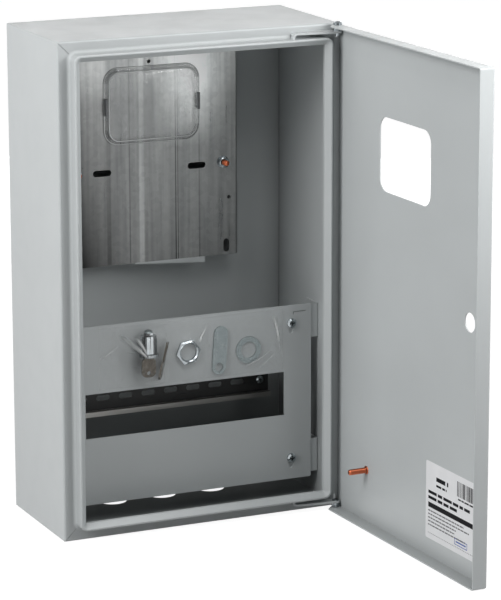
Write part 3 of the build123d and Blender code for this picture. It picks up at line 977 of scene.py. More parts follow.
def add_piece(mesh: bpy.types.Mesh, finish: Finish, body: Body) -> bpy.types.Object:
    """Put a new mesh piece on a body.

    Args:
        mesh: its mesh in the row frame, which also gives its name.
        finish: its finish.
        body: what it moves with.

    Returns:
        The new object.
    """
    piece = bpy.data.objects.new(mesh.name, mesh)
    bpy.context.scene.collection.objects.link(piece)
    mesh.materials.append(finish.material())
    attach(piece, body.value)
    LOG.info("made %s on %s", mesh.name, body.value)
    return piece


def mesh_of(name: str, build: bmesh.types.BMesh, smooth: bool = True) -> bpy.types.Mesh:
    """Turn a built mesh into mesh data and free it.

    Args:
        name: the mesh's name.
        build: the built mesh.
        smooth: shades its faces as one curved surface.

    Returns:
        The mesh data.
    """
    bmesh.ops.recalc_face_normals(build, faces=build.faces)
    mesh = bpy.data.meshes.new(name)
    build.to_mesh(mesh)
    build.free()
    for polygon in mesh.polygons:
        polygon.use_smooth = smooth
    return mesh


def mark_points(mesh: bpy.types.Mesh, marks: Sequence[float]) -> None:
    """Give each point of a mesh its paleness."""
    layer = mesh.attributes.new(MARK, "FLOAT", "POINT")
    layer.data.foreach_set("value", marks)


def skin(target: bmesh.types.BMesh, rings: Sequence[Ring]) -> None:
    """Join a row of closed rings by faces.

    Args:
        target: the mesh that holds the rings.
        rings: the rings, with as many points in each.
    """
    for low, high in zip(rings, rings[1:]):
        for j in range(len(low)):
            k = (j + 1) % len(low)
            target.faces.new((low[j], low[k], high[k], high[j]))


def join_rings(target: bmesh.types.BMesh, rings: Sequence[Ring]) -> None:
    """Skin a row of closed rings and cap both ends.

    Args:
        target: the mesh that holds the rings.
        rings: the rings, with as many points in each.
    """
    skin(target, rings)
    target.faces.new(rings[0][::-1])
    target.faces.new(rings[-1])


def rounded_outline(low: Span, high: Span, radius: float, steps: int) -> List[Span]:
    """Work out a rectangle with round corners, from its lower right corner on.

    Args:
        low: the lower left corner.
        high: the upper right corner.
        radius: the corners' radius.
        steps: parts of each corner's arc.

    Returns:
        The outline's points.
    """
    middles = (
        (high[0] - radius, low[1] + radius), (high[0] - radius, high[1] - radius),
        (low[0] + radius, high[1] - radius), (low[0] + radius, low[1] + radius),
    )
    points = []
    for quarter, (x, z) in enumerate(middles):
        for step in range(steps + 1):
            angle = math.pi / 2 * (quarter - 1 + step / steps)
            points.append((x + radius * math.cos(angle), z + radius * math.sin(angle)))
    return points


@dataclass(frozen=True)
class Thread:
    """A screw thread on a straight rod, in millimetres."""

    radius: float
    pitch: float
    depth: float
    length: float
    sides: int = 28
    steps: int = 8
    tip: float = 0.8
    tip_cut: float = 1.3
    slope: float = 1.3
    crest: float = 0.15

    def radius_at(self, along: float, turn: float) -> float:
        """Work out the rod's radius at one point.

        Args:
            along: the height above the foot.
            turn: the part of a turn round the rod.

        Returns:
            The radius.
        """
        ridge = abs(2.0 * ((along / self.pitch - turn) % 1.0) - 1.0)
        groove = min(1.0, max(0.0, self.slope * ridge - self.crest))
        left = min(1.0, (self.length - along) / self.tip)
        blunt = self.radius - self.tip_cut * self.depth * (1.0 - left)
        return min(self.radius - self.depth * groove, blunt)

    def build(self, target: bmesh.types.BMesh, foot: Vector, along: Vector, across: Vector,
              flat: float = 0.0) -> None:
        """Add the closed rod to a mesh.

        Args:
            target: the mesh that takes the rod.
            foot: the rod's foot in the row frame, in metres.
            along: unit vector from foot to tip.
            across: unit vector square to the rod, in the plane of any flats.
            flat: half the width over two flats, or 0 for a round rod.
        """
        other = along.cross(across)
        count = int(self.length / self.pitch * self.steps)
        rings = []
        for i in range(count + 1):
            height = self.length * i / count
            ring = []
            for j in range(self.sides):
                turn = j / self.sides
                reach = self.radius_at(height, turn)
                u = reach * math.cos(math.tau * turn)
                v = reach * math.sin(math.tau * turn)
                v = max(-flat, min(flat, v)) if flat else v
                ring.append(target.verts.new(foot + (along * height + across * u + other * v) * MM))
            rings.append(ring)
        join_rings(target, rings)


@dataclass(frozen=True)
class Turning:
    """A turned solid, given as pairs of height and radius from foot to tip, in millimetres."""

    profile: Tuple[Span, ...]
    sides: int = 32

    def build(self, target: bmesh.types.BMesh, foot: Vector, along: Vector) -> None:
        """Add the solid to a mesh.

        Args:
            target: the mesh that takes the solid.
            foot: the axis's start in the row frame, in metres.
            along: unit vector of the axis.
        """
        across = along.orthogonal().normalized()
        other = along.cross(across)
        rings = []
        for height, radius in self.profile:
            ring = []
            for j in range(self.sides):
                angle = math.tau * j / self.sides
                spoke = across * math.cos(angle) + other * math.sin(angle)
                ring.append(target.verts.new(foot + (along * height + spoke * radius) * MM))
            rings.append(ring)
        join_rings(target, rings)


@dataclass(frozen=True)
class WeldedStud:
    """Threaded stud with a weld collar, in millimetres."""

    radius: float = 3.0
    collar: float = 4.35
    pitch: float = 1.0
    depth: float = 0.55
    bead_side: float = 0.45
    bead_round: Span = (0.75, 0.35)
    bead_top: float = 0.9

    def build(self, target: bmesh.types.BMesh, foot: Vector, tip: Vector) -> None:
        """Add the stud to a mesh.

        Args:
            target: the mesh that takes the stud.
            foot: where it is welded on, in the row frame, in metres.
            tip: its other end.
        """
        reach = tip - foot
        along = reach.normalized()
        rod = Thread(self.radius, self.pitch, self.depth, reach.length / MM)
        rod.build(target, foot, along, along.orthogonal().normalized())
        shoulder, inset = self.bead_round
        bead = Turning((
            (0.0, self.collar), (self.bead_side, self.collar), (shoulder, self.collar - inset),
            (self.bead_top, self.radius),
        ))
        bead.build(target, foot, along)


@dataclass(frozen=True)
class DoorFrame:
    """The open door's own axes: along the panel, up, and out of its inner face, in millimetres."""

    pivot: Span = (143.5, -149.0)
    angle: float = 92.0
    half_width: float = 150.0
    depth: float = 155.0
    sheet: float = 1.2

    def place(self, along: float, up: float, out: float = 0.0) -> Vector:
        """Work out a point on the inner face.

        Args:
            along: millimetres from the hinge side.
            up: millimetres above the cabinet's floor.
            out: millimetres off the inner face.

        Returns:
            The point in the row frame, in metres.
        """
        turn = math.radians(self.angle)
        dx = self.half_width - along - self.pivot[0]
        dy = -self.depth + self.sheet + out - self.pivot[1]
        x = self.pivot[0] + dx * math.cos(turn) - dy * math.sin(turn)
        y = self.pivot[1] + dx * math.sin(turn) + dy * math.cos(turn)
        return Vector((x * MM, y * MM, up * MM - HALF_HEIGHT))


@dataclass
class Cabinet:
    """Folded cabinet with its straps and brackets."""

    shell: str = "cabinet_shell"
    coated: Tuple[str, ...] = (
        "hinge_strap_top", "hinge_strap_bottom", "plate_ledge",
        "cover_bracket_upper_right", "cover_bracket_lower_right",
        "cover_bracket_upper_left", "cover_bracket_lower_left",
    )
    plated: Tuple[str, ...] = (
        "hinge_screw_top", "hinge_screw_bottom", "hinge_spacer_top", "hinge_spacer_bottom",
    )

    def build(self) -> None:
        """The cabinet's shapes all come from the frame."""

    def dress(self) -> None:
        """Coat the sheet and plate the hinge parts."""
        dress_node(self.shell, SHELL)
        for name in self.coated:
            dress_node(name, COAT)
        for name in self.plated:
            dress_node(name, BRIGHT)


@dataclass(frozen=True)
class PrintLine:
    """A line of print: its start and end, its foot below the paper's top, and its height."""

    start: float
    end: float
    drop: float
    tall: float


@dataclass(frozen=True)
class Label:
    """Paper label on the door's inner face, printed with plain bars, in millimetres."""

    axes: DoorFrame = field(default_factory=DoorFrame)
    low: Span = (184.0, 20.0)
    high: Span = (284.0, 98.0)
    corner: float = 2.0
    corner_steps: int = 4
    paper: Span = (0.02, 0.10)
    ink_lift: float = 0.15
    margin: float = 5.0
    word_lengths: Span = (2.2, 5.5)
    word_gap: float = 0.7
    bars_seed: int = 5
    stripes_start: float = 60.0
    stripes_end: float = 93.0
    stripes_drop: Span = (21.0, 6.0)
    stripe_widths: Tuple[float, ...] = (0.5, 0.8, 1.2, 1.6)
    stripe_gaps: Tuple[float, ...] = (0.6, 0.9, 1.3)
    bold: Tuple[PrintLine, ...] = (
        PrintLine(62.0, 92.0, 24.5, 1.6), PrintLine(5.0, 86.0, 32.0, 3.0), PrintLine(5.0, 60.0, 37.5, 3.0),
        PrintLine(20.0, 43.0, 17.0, 4.2), PrintLine(20.0, 40.0, 22.5, 2.2),
    )
    band_drop: Span = (46.0, 41.0)
    lines_seed: int = 9
    small_rows: int = 5
    small_drop: float = 50.0
    small_step: float = 3.6
    small_tall: float = 1.3
    small_shares: Span = (0.55, 0.94)
    dots: int = 29
    dot_step: float = 3.1
    dot_long: float = 1.7
    dot_rise: Span = (5.5, 6.1)
    stamp_low: Span = (56.0, 8.0)
    stamp_high: Span = (80.0, 14.5)
    stamp_edge: float = 0.7
    stamp_inset: float = 2.5
    stamp_bar: Span = (2.6, 3.9)

    @property
    def wide(self) -> float:
        """Return the paper's width."""
        return self.high[0] - self.low[0]

    @property
    def tall(self) -> float:
        """Return the paper's height."""
        return self.high[1] - self.low[1]

    def patch(self, target: bmesh.types.BMesh, low: Span, high: Span) -> None:
        """Add one printed bar.

        Args:
            target: the mesh that takes it.
            low: the bar's lower left corner, from the paper's.
            high: its upper right corner.
        """
        corners = ((low[0], low[1]), (high[0], low[1]), (high[0], high[1]), (low[0], high[1]))
        places = [self.axes.place(self.low[0] + x, self.low[1] + z, self.ink_lift) for x, z in corners]
        target.faces.new([target.verts.new(place) for place in places])

    def words(self, target: bmesh.types.BMesh, rng: random.Random, line: PrintLine) -> None:
        """Add one line of print as bars of different lengths.

        Args:
            target: the mesh that takes them.
            rng: the source of their lengths.
            line: the line.
        """
        x = line.start
        low = self.tall - line.drop
        while x < line.end:
            run = min(rng.uniform(*self.word_lengths) * line.tall, line.end - x)
            self.patch(target, (x, low), (x + run, low + line.tall))
            x += run + line.tall * self.word_gap

    def sheet(self) -> bmesh.types.BMesh:
        """Make the paper, a thin slab with round corners.

        Returns:
            The built mesh.
        """
        target = bmesh.new()
        outline = rounded_outline(self.low, self.high, self.corner, self.corner_steps)
        rings = [[target.verts.new(self.axes.place(x, z, out)) for x, z in outline] for out in self.paper]
        join_rings(target, rings)
        return target

    def bars(self) -> bmesh.types.BMesh:
        """Make the black print: stripes, bold lines and a solid band.

        Returns:
            The built mesh.
        """
        target = bmesh.new()
        rng = random.Random(self.bars_seed)
        x = self.stripes_start
        foot, head = (self.tall - drop for drop in self.stripes_drop)
        while x < self.stripes_end:
            wide = rng.choice(self.stripe_widths)
            self.patch(target, (x, foot), (x + wide, head))
            x += wide + rng.choice(self.stripe_gaps)
        for line in self.bold:
            self.words(target, rng, line)
        foot, head = (self.tall - drop for drop in self.band_drop)
        self.patch(target, (self.margin, foot), (self.wide - self.margin, head))
        return target

    def lines(self) -> bmesh.types.BMesh:
        """Make the grey print: small lines and a dotted rule.

        Returns:
            The built mesh.
        """
        target = bmesh.new()
        rng = random.Random(self.lines_seed)
        for row in range(self.small_rows):
            end = self.wide * rng.uniform(*self.small_shares)
            drop = self.small_drop + self.small_step * row
            self.words(target, rng, PrintLine(self.margin, end, drop, self.small_tall))
        foot, head = self.dot_rise
        for step in range(self.dots):
            x = self.margin + self.dot_step * step
            self.patch(target, (x, foot), (x + self.dot_long, head))
        return target

    def stamp(self) -> bmesh.types.BMesh:
        """Make the blue print: a small open frame with one bar in it.

        Returns:
            The built mesh.
        """
        target = bmesh.new()
        (x0, z0), (x1, z1), edge = self.stamp_low, self.stamp_high, self.stamp_edge
        self.patch(target, (x0, z0), (x1, z0 + edge))
        self.patch(target, (x0, z1 - edge), (x1, z1))
        self.patch(target, (x0, z0), (x0 + edge, z1))
        self.patch(target, (x1 - edge, z0), (x1, z1))
        foot, head = self.stamp_bar
        self.patch(target, (x0 + self.stamp_inset, z0 + foot), (x1 - self.stamp_inset, z0 + head))
        return target


@dataclass
class Door:
    """Door pan with its earth stud and label, in millimetres."""

    axes: DoorFrame = field(default_factory=DoorFrame)
    label: Label = field(default_factory=Label)
    stud: WeldedStud = field(default_factory=WeldedStud)
    stud_place: Span = (63.0, 55.0)
    stud_length: float = 20.0

    def build(self) -> None:
        """Make the label, its print and the threaded stud."""
        for name, build, finish in (
            ("door_label", self.label.sheet(), LABEL),
            ("door_label_bars", self.label.bars(), INK),
            ("door_label_lines", self.label.lines(), INK_GREY),
            ("door_label_stamp", self.label.stamp(), INK_BLUE),
        ):
            add_piece(mesh_of(name, build, False), finish, Body.DOOR)
        rod = bmesh.new()
        tip = self.axes.place(*self.stud_place, self.stud_length)
        self.stud.build(rod, self.axes.place(*self.stud_place), tip)
        piece = add_piece(mesh_of("door_stud_threaded", rod), COPPER, Body.DOOR)
        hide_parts("door_earth_stud")

    def dress(self) -> None:
        """Coat the pan."""
        dress_node("door_panel", COAT)


@dataclass
class MeterPlate:
    """Galvanised plate with its studs."""

    stud: WeldedStud = field(default_factory=WeldedStud)
    fixings: Tuple[str, ...] = ("plate_spacers", "plate_washers", "plate_nuts")

    def build(self) -> None:
        """Make the threaded studs where the frame has plain ones."""
        low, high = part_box("plate_studs")
        rods = bmesh.new()
        inset = self.stud.collar * MM
        middle = (low[2] + high[2]) / 2
        for x in (low[0] + inset, high[0] - inset):
            self.stud.build(rods, Vector((x, high[1], middle)), Vector((x, low[1], middle)))
        piece = add_piece(mesh_of("plate_studs_threaded", rods), COPPER, Body.CABINET)
        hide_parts("plate_studs")

    def dress(self) -> None:
        """Finish the plate and its fixings."""
        dress_node("meter_plate", PLATE)
        for name in self.fixings:
            dress_node(name, BRIGHT)


@dataclass
class WindowInsert:
    """Clear window tray lying on the meter plate, in millimetres.

    A step of its section is the inset from the flange's edge, the height off the plate and the paleness, a
    painted highlight along the rims.
    """

    corner: float = 15.5
    tightest: float = 1.0
    arc: int = 8
    outer: Tuple[Tuple[float, float, float], ...] = (
        (5.0, 0.0, 0.0), (0.0, 0.0, 0.1), (0.0, 1.2, 0.5), (0.5, 1.6, 0.9), (1.0, 1.6, 0.0),
        (2.8, 1.6, 0.0), (3.3, 1.8, 0.3), (3.5, 2.4, 0.1), (3.8, 4.6, 0.1), (4.1, 5.2, 0.9),
        (4.5, 5.5, 1.0), (5.2, 5.5, 0.0), (12.0, 5.5, 0.0),
    )
    hollow: Tuple[Tuple[float, float, float], ...] = ((5.0, 3.6, 0.1), (5.8, 4.0, 0.0))

    def loop(self, target: bmesh.types.BMesh, step: Tuple[float, float, float], marks: List[float]) -> Ring:
        """Add one rounded outline of the tray.

        Args:
            target: the mesh that takes it.
            step: a step of the section.
            marks: takes the paleness of each new point.

        Returns:
            The outline's points.
        """
        inset, height, mark = step
        low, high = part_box("window_insert")
        edge = inset * MM
        radius = max(self.tightest, self.corner - inset) * MM
        outline = rounded_outline((low[0] + edge, low[2] + edge), (high[0] - edge, high[2] - edge),
                                  radius, self.arc)
        marks.extend([mark] * len(outline))
        return [target.verts.new(Vector((x, high[1] - height * MM, z))) for x, z in outline]

    def build(self) -> None:
        """Make the tray in place of the frame's."""
        target = bmesh.new()
        marks: List[float] = []
        outside = [self.loop(target, step, marks) for step in self.outer]
        inside = [self.loop(target, step, marks) for step in self.hollow]
        for rings in (outside, [outside[0]] + inside):
            skin(target, rings)
            target.faces.new(rings[-1])
        mesh = mesh_of("window_tray", target)
        mark_points(mesh, marks)
        piece = add_piece(mesh, WINDOW, Body.CABINET)
        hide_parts("window_insert")

    def dress(self) -> None:
        """Finish the clips."""
        dress_node("window_clips", CLIP)


@dataclass
class CoverGroup:
    """Cover, its screws and the rail behind it."""

    stands: Tuple[str, ...] = ("rail_stand_right", "rail_stand_left")

    def build(self) -> None:
        """The cover's shapes all come from the frame."""

    def dress(self) -> None:
        """Finish the cover, the rail and their screws."""
        dress_node("cover_panel", COAT)
        dress_node("cover_screws", SCREW)
        dress_node("mounting_rail", RAIL)
        for name in self.stands:
            dress_node(name, SHEET)
        dress_node("rail_screws", ZINC)


@dataclass(frozen=True)
class Lump:
    """Something under the film: a capsule seen from the front, in millimetres."""

    x: float
    low: float
    high: float
    radius: float
    rise: float
    skirt: float = 5.0
    skirt_share: float = 0.75

    def height(self, x: float, z: float) -> float:
        """Work out how far the film stands off over this lump.

        Args:
            x: the place across the film.
            z: the place above the cabinet's floor.

        Returns:
            The height.
        """
        near = min(max(z, self.low), self.high)
        away = max(0.0, math.hypot(x - self.x, z - near) - self.radius)
        slope = max(0.0, 1.0 - away / (self.skirt_share * self.rise + self.skirt))
        return self.rise * slope * slope * (3.0 - 2.0 * slope)


@dataclass(frozen=True)
class Crease:
    """A sharp fold in the film between two points, narrower at the second, in millimetres."""

    x0: float
    z0: float
    x1: float
    z1: float
    width: float
    rise: float
    taper: float = 0.75
    fade: int = 3

    def strength(self, x: float, z: float) -> float:
        """Work out how strong the fold is at a point.

        Args:
            x: the place across the film.
            z: the place above the cabinet's floor.

        Returns:
            1 on the fold, falling to 0 beside it and towards its ends.
        """
        dx, dz = self.x1 - self.x0, self.z1 - self.z0
        length = math.hypot(dx, dz)
        along = ((x - self.x0) * dx + (z - self.z0) * dz) / length / length
        beside = abs((x - self.x0) * dz - (z - self.z0) * dx) / length
        ends = max(0.0, 1.0 - abs(2.0 * along - 1.0) ** self.fade)
        width = self.width * (1.0 - self.taper * min(1.0, max(0.0, along)))
        return ends * max(0.0, 1.0 - beside / width)


@dataclass(frozen=True)
class Pocket:
    """A sealed pocket of the film, hazier than the film round it, in millimetres."""

    left: float
    low: float
    right: float
    high: float
    haze: float

    def haze_at(self, x: float, z: float) -> float:
        """Return the haze inside the pocket, and 0 outside it."""
        inside = self.left < x < self.right and self.low < z < self.high
        return self.haze if inside else 0.0


@dataclass
class FilmPouch:
    """Clear film over the lock kit, taped to the cover, in millimetres."""

    lumps: Tuple[Lump, ...] = (
        Lump(-45.0, 152.0, 196.0, 9.0, 21.5), Lump(2.0, 169.0, 169.0, 12.0, 5.0),
        Lump(37.0, 150.0, 184.0, 7.0, 2.8), Lump(69.0, 164.0, 164.0, 13.0, 2.2),
    )
    bold: Tuple[Crease, ...] = (
        Crease(-73.0, 195.0, -50.0, 172.0, 4.4, 1.6), Crease(-62.0, 195.0, -51.0, 176.0, 2.6, 1.2),
        Crease(-95.0, 170.5, -74.0, 182.0, 1.4, 0.8), Crease(13.0, 177.0, 24.0, 197.0, 2.4, 1.6),
        Crease(64.0, 147.0, 97.0, 160.5, 1.4, 1.2), Crease(82.0, 144.0, 98.0, 156.5, 1.2, 1.0),
        Crease(97.0, 199.0, 106.0, 158.0, 2.2, 1.5), Crease(-30.0, 197.0, -20.0, 170.0, 1.2, 0.7),
        Crease(100.0, 197.0, 107.0, 148.0, 1.6, 1.0),
    )
    pockets: Tuple[Pocket, ...] = (
        Pocket(-76.0, 139.0, -24.0, 201.0, 0.035), Pocket(-21.0, 140.0, 21.0, 196.0, 0.06),
        Pocket(24.0, 139.0, 92.0, 199.0, 0.03),
    )
    columns: int = 220
    rows: int = 72
    lift: float = 0.7
    slack: float = 0.6
    held_edge: float = 6.0
    wave_scale: float = 0.09
    wave_layer: float = 3.0
    wave_rise: float = 1.1
    wave_lowest: float = -0.4
    seam: float = 1.6
    seam_mark: float = 0.08
    crease_gain: float = 1.5
    crease_power: float = 1.3
    seed: int = 17
    folds: int = 40
    crowd_every: int = 3
    crowd_middle: float = -45.0
    crowd_spread: float = 18.0
    fold_margin: float = 4.0
    fold_halves: Span = (3.0, 11.0)
    fold_widths: Span = (0.5, 1.1)
    fold_rises: Span = (0.1, 0.4)

    def creases(self, low: Span, high: Span) -> List[Crease]:
        """Scatter faint folds between the bold ones.

        Args:
            low: the film's lower left corner.
            high: its upper right corner.

        Returns:
            All the folds.
        """
        rng = random.Random(self.seed)
        found = list(self.bold)
        for i in range(self.folds):
            crowded = i % self.crowd_every == 0
            x = rng.gauss(self.crowd_middle, self.crowd_spread) if crowded else rng.uniform(low[0], high[0])
            z = rng.uniform(low[1] + self.fold_margin, high[1] - self.fold_margin)
            angle = rng.uniform(0.0, math.pi)
            half = rng.uniform(*self.fold_halves)
            dx, dz = half * math.cos(angle), half * math.sin(angle)
            width, rise = rng.uniform(*self.fold_widths), rng.uniform(*self.fold_rises)
            found.append(Crease(x - dx, z - dz, x + dx, z + dz, width, rise))
        return found

    def stand_off(self, folds: Sequence[Crease], x: float, z: float, free: float) -> float:
        """Work out how far the film stands off the cover at a point.

        Args:
            folds: all the folds.
            x: the place across the film.
            z: the place above the cabinet's floor.
            free: 0 at the film's edge, 1 away from it.

        Returns:
            The height over the film's back.
        """
        ridge = sum(fold.rise * fold.strength(x, z) for fold in folds)
        spot = Vector((x * self.wave_scale, z * self.wave_scale, self.wave_layer))
        wave = max(self.wave_lowest, noise.noise(spot) * self.wave_rise)
        under = max(lump.height(x, z) for lump in self.lumps)
        return self.lift + free * (under + ridge + self.slack + wave)

    def paleness(self, folds: Sequence[Crease], x: float, z: float, edge: float, free: float) -> float:
        """Work out how pale the film is at a point: painted highlights on the folds, with the sealed seam and
        the pockets' haze.

        Args:
            folds: all the folds.
            x: the place across the film.
            z: the place above the cabinet's floor.
            edge: the distance to the film's edge.
            free: 0 at the film's edge, 1 away from it.

        Returns:
            The mark, from 0 to 1.
        """
        sharp = max(min(1.0, fold.rise) * fold.strength(x, z) for fold in folds)
        haze = max(pocket.haze_at(x, z) for pocket in self.pockets)
        sealed = self.seam_mark if edge < self.seam else 0.0
        crease = free * min(1.0, self.crease_gain * sharp) ** self.crease_power
        return min(1.0, crease + sealed + haze)

    def build(self) -> None:
        """Make the crumpled film in place of the frame's flat one."""
        low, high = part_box("kit_film")
        left, right = low[0] / MM, high[0] / MM
        bottom, top = (low[2] + HALF_HEIGHT) / MM, (high[2] + HALF_HEIGHT) / MM
        back = high[1] / MM
        folds = self.creases((left, bottom), (right, top))
        target = bmesh.new()
        marks: List[float] = []
        grid = []
        for j in range(self.rows + 1):
            z = bottom + (top - bottom) * j / self.rows
            line = []
            for i in range(self.columns + 1):
                x = left + (right - left) * i / self.columns
                edge = min(x - left, right - x, z - bottom, top - z)
                free = min(1.0, edge / self.held_edge)
                out = self.stand_off(folds, x, z, free)
                line.append(target.verts.new(Vector((x * MM, (back - out) * MM, z * MM - HALF_HEIGHT))))
                marks.append(self.paleness(folds, x, z, edge, free))
            grid.append(line)
        for j in range(self.rows):
            for i in range(self.columns):
                target.faces.new((grid[j][i], grid[j][i + 1], grid[j + 1][i + 1], grid[j + 1][i]))
        mesh = mesh_of("film_pouch", target)
        mark_points(mesh, marks)
        piece = add_piece(mesh, FILM, Body.CABINET)
        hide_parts("kit_film")


@dataclass(frozen=True)
class LockNut:
    """The lock's thin hexagon nut with broken edges, in millimetres."""

    flats: float = 23.0
    bore: float = 8.75
    thick: float = 4.0
    inner_edge: float = 1.1
    outer_edge: float = 1.3
    crown: float = 0.35
    steps: int = 10

    def reach(self, angle: float) -> float:
        """Return the hexagon's radius at an angle from one of its corners, in radians."""
        return self.flats / 2 / math.cos((angle % (math.pi / 3)) - math.pi / 6)

    def section(self, angle: float) -> Tuple[Span, ...]:
        """Work out the nut's section at an angle.

        Args:
            angle: the angle from one of the hexagon's corners, in radians.

        Returns:
            Pairs of radius and height off the cover, once round the section.
        """
        hexagon = self.reach(angle)
        return (
            (self.bore, 0.0), (self.bore, self.thick - self.inner_edge),
            (self.bore + self.inner_edge, self.thick),
            (self.flats / 2 - self.outer_edge, self.thick - self.crown),
            (hexagon, self.thick - self.outer_edge), (hexagon, 0.0),
        )

    def build(self) -> bpy.types.Mesh:
        """Make the nut, turned as the frame's nut is.

        Returns:
            Its mesh.
        """
        low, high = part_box("lock_nut")
        middle = Vector(((low[0] + high[0]) / 2, high[1], (low[2] + high[2]) / 2))
        reaches = [vertex.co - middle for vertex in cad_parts["lock_nut"].data.vertices]
        corner = max(reaches, key=lambda reach: reach.x * reach.x + reach.z * reach.z)
        start = math.atan2(corner.z, corner.x)
        target = bmesh.new()
        rings = []
        for step in range(6 * self.steps):
            angle = math.tau * step / (6 * self.steps)
            out = Vector((math.cos(start + angle), 0.0, math.sin(start + angle)))
            places = [middle + (out * radius + Vector((0.0, -height, 0.0))) * MM
                      for radius, height in self.section(angle)]
            rings.append([target.verts.new(place) for place in places])
        skin(target, rings + rings[:1])
        return mesh_of("lock_nut_bright", target, False)


@dataclass
class LockKit:
    """Loose lock in its pouch on the cover, in millimetres."""

    pouch: FilmPouch = field(default_factory=FilmPouch)
    nut: LockNut = field(default_factory=LockNut)
    barrel: Thread = Thread(radius=8.75, pitch=1.5, depth=0.7, length=16.0, sides=48, tip=1.0)
    barrel_flat: float = 7.0
    head: float = 4.2
    zinc: Tuple[str, ...] = ("lock_cam_screw", "lock_cam", "lock_washer")

    def build(self) -> None:
        """Make the barrel's thread, the nut and the pouch."""
        low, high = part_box("lock_cylinder")
        foot = Vector(((low[0] + high[0]) / 2, (low[1] + high[1]) / 2, low[2] + self.head * MM))
        sleeve = bmesh.new()
        self.barrel.build(sleeve, foot, Vector((0.0, 0.0, 1.0)), Vector((1.0, 0.0, 0.0)), self.barrel_flat)
        add_piece(mesh_of("lock_barrel_thread", sleeve), CHROME, Body.CABINET)
        piece = add_piece(self.nut.build(), NUT, Body.CABINET)
        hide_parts("lock_nut")
        self.pouch.build()

    def dress(self) -> None:
        """Finish the lock and its keys."""
        dress_node("lock_cylinder", CHROME)
        for name in self.zinc:
            dress_node(name, ZINC)
        dress_node("lock_keys", NICKEL)


@dataclass(frozen=True)
class SoftBox:
    """A square lamp: where it hangs and its side in metres, and its power in watts."""

    name: str
    place: Tuple[float, float, float]
    size: float
    power: float

    def hang(self, target: Vector) -> None:
        """Hang the lamp so that it faces a point.

        Args:
            target: the point, in metres.
        """
        lamp = bpy.data.lights.new(self.name, "AREA")
        lamp.shape = "SQUARE"
        lamp.size = self.size
        lamp.energy = self.power
        item = bpy.data.objects.new(self.name, lamp)
        item.location = self.place
        aim = target - Vector(self.place)
        item.rotation_euler = aim.to_track_quat("-Z", "Y").to_euler()
        bpy.context.scene.collection.objects.link(item)


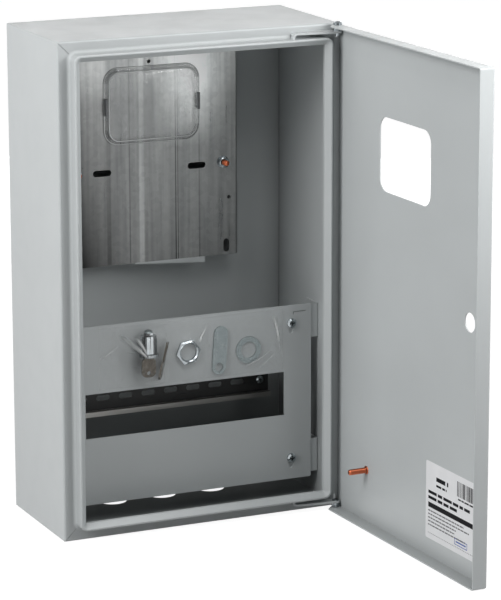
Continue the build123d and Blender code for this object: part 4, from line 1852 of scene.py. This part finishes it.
@dataclass
class Studio:
    """Floor, soft light and camera, in metres and degrees."""

    camera_place: Tuple[float, float, float] = (-1.225, -2.940, 0.714)
    camera_yaw: float = 24.52
    camera_pitch: float = -13.47
    camera_roll: float = -0.11
    camera_reach: float = 60.0
    focal_pixels: float = 3165.0
    frame_pixels: float = 600.0
    sensor: float = 36.0
    middle: Tuple[float, float, float] = (0.0, -0.15, 0.0)
    lamps: Tuple[SoftBox, ...] = (
        SoftBox("left_wall", (-1.80, -0.30, 0.50), 1.2, 15.5),
        SoftBox("left_box", (-0.95, -0.45, 0.75), 0.6, 6.4),
        SoftBox("top_box", (0.10, -0.65, 0.85), 0.5, 2.4),
        SoftBox("right_box", (0.45, -0.80, 0.45), 0.4, 4.8),
        SoftBox("back_box", (0.90, 1.60, -0.05), 0.9, 14.0),
    )
    floor_size: float = 14.0
    floor_gap: float = 0.0004
    floor_bounce: Colour = (0.42, 0.42, 0.42)
    floor_shade: Colour = (0.26, 0.26, 0.26)
    glow_reach: Span = (0.4, 1.6)
    glow: Span = (0.92, 1.0)
    world_light: float = 0.02
    world_white: float = 1.0

    def build(self) -> None:
        """Set up the whole studio."""
        bpy.context.scene.view_settings.view_transform = "Standard"
        self.make_floor()
        self.make_world()
        for lamp in self.lamps:
            lamp.hang(Vector(self.middle))
        self.make_camera()

    def choose(self, graph: Graph, bounced: bpy.types.Node, seen: bpy.types.Node) -> Socket:
        """Choose between two shaders by the kind of ray.

        Args:
            graph: the nodes that hold them.
            bounced: the shader for light that bounces.
            seen: the shader for camera, glossy and transmitted rays.

        Returns:
            The chosen shader.
        """
        path = graph.add("ShaderNodeLightPath").outputs
        direct = graph.maths("MAXIMUM", path["Is Camera Ray"], path["Is Glossy Ray"])
        direct = graph.maths("MAXIMUM", direct, path["Is Transmission Ray"])
        mix = graph.add("ShaderNodeMixShader", Fac=direct)
        graph.feed(mix.inputs[1], bounced.outputs[0])
        graph.feed(mix.inputs[2], seen.outputs[0])
        return mix.outputs[0]

    def make_floor(self) -> None:
        """Lay a pale floor that looks near white and keeps a soft shadow."""
        build = bmesh.new()
        bmesh.ops.create_grid(build, x_segments=1, y_segments=1, size=self.floor_size)
        for vert in build.verts:
            vert.co.z = -HALF_HEIGHT - self.floor_gap
        floor = bpy.data.objects.new("studio_floor", mesh_of("studio_floor", build, False))
        bpy.context.scene.collection.objects.link(floor)
        material = bpy.data.materials.new("studio_floor")
        graph = fresh_graph(material)
        plain = graph.add("ShaderNodeBsdfDiffuse", Color=(*self.floor_bounce, 1.0))
        away = graph.add("ShaderNodeVectorMath", {"operation": "LENGTH"}, Vector=graph.here())
        # Painted light: the floor's glow rises to full white far from the object, where the lamps light it
        # less, and is weaker near it.
        strength = graph.ramp(away.outputs["Value"], self.glow_reach, self.glow)
        glow = graph.add("ShaderNodeEmission", Color=(*WHITE, 1.0), Strength=strength)
        shade = graph.add("ShaderNodeBsdfDiffuse", Color=(*self.floor_shade, 1.0))
        pale = graph.add("ShaderNodeAddShader")
        graph.feed(pale.inputs[0], glow.outputs[0])
        graph.feed(pale.inputs[1], shade.outputs[0])
        output = graph.add("ShaderNodeOutputMaterial")
        graph.feed(output.inputs["Surface"], self.choose(graph, plain, pale))
        floor.data.materials.append(material)

    def make_world(self) -> None:
        """Make the world white to look at and soft grey as light."""
        world = bpy.data.worlds.new("studio_world")
        bpy.context.scene.world = world
        graph = fresh_graph(world)
        light = graph.add("ShaderNodeBackground", Color=(*WHITE, 1.0), Strength=self.world_light)
        white = graph.add("ShaderNodeBackground", Color=(*WHITE, 1.0), Strength=self.world_white)
        output = graph.add("ShaderNodeOutputWorld")
        graph.feed(output.inputs["Surface"], self.choose(graph, light, white))

    def make_camera(self) -> None:
        """Stand the camera where the photograph was taken from."""
        data = bpy.data.cameras.new("studio_camera")
        data.sensor_width = self.sensor
        data.lens = self.focal_pixels / self.frame_pixels * self.sensor
        data.clip_end = self.camera_reach
        camera = bpy.data.objects.new("studio_camera", data)
        bpy.context.scene.collection.objects.link(camera)
        yaw, pitch, roll = (math.radians(a) for a in (self.camera_yaw, self.camera_pitch, self.camera_roll))
        ahead = Vector((math.sin(yaw) * math.cos(pitch), math.cos(yaw) * math.cos(pitch), math.sin(pitch)))
        right = Vector((math.cos(yaw), -math.sin(yaw), 0.0))
        up = right.cross(ahead)
        side = math.cos(roll) * right + math.sin(roll) * up
        top = -math.sin(roll) * right + math.cos(roll) * up
        turn = Matrix((side, top, -ahead)).transposed().to_4x4()
        camera.matrix_world = Matrix.Translation(self.camera_place) @ turn
        bpy.context.scene.camera = camera


def main() -> None:
    """Build and dress every part of the enclosure, then the studio."""
    logging.basicConfig(level=logging.INFO, format="%(name)s: %(message)s")
    for part in (Cabinet(), Door(), MeterPlate(), WindowInsert(), CoverGroup(), LockKit()):
        part.build()
        part.dress()
    Studio().build()


if __name__ == "__main__":
    main()
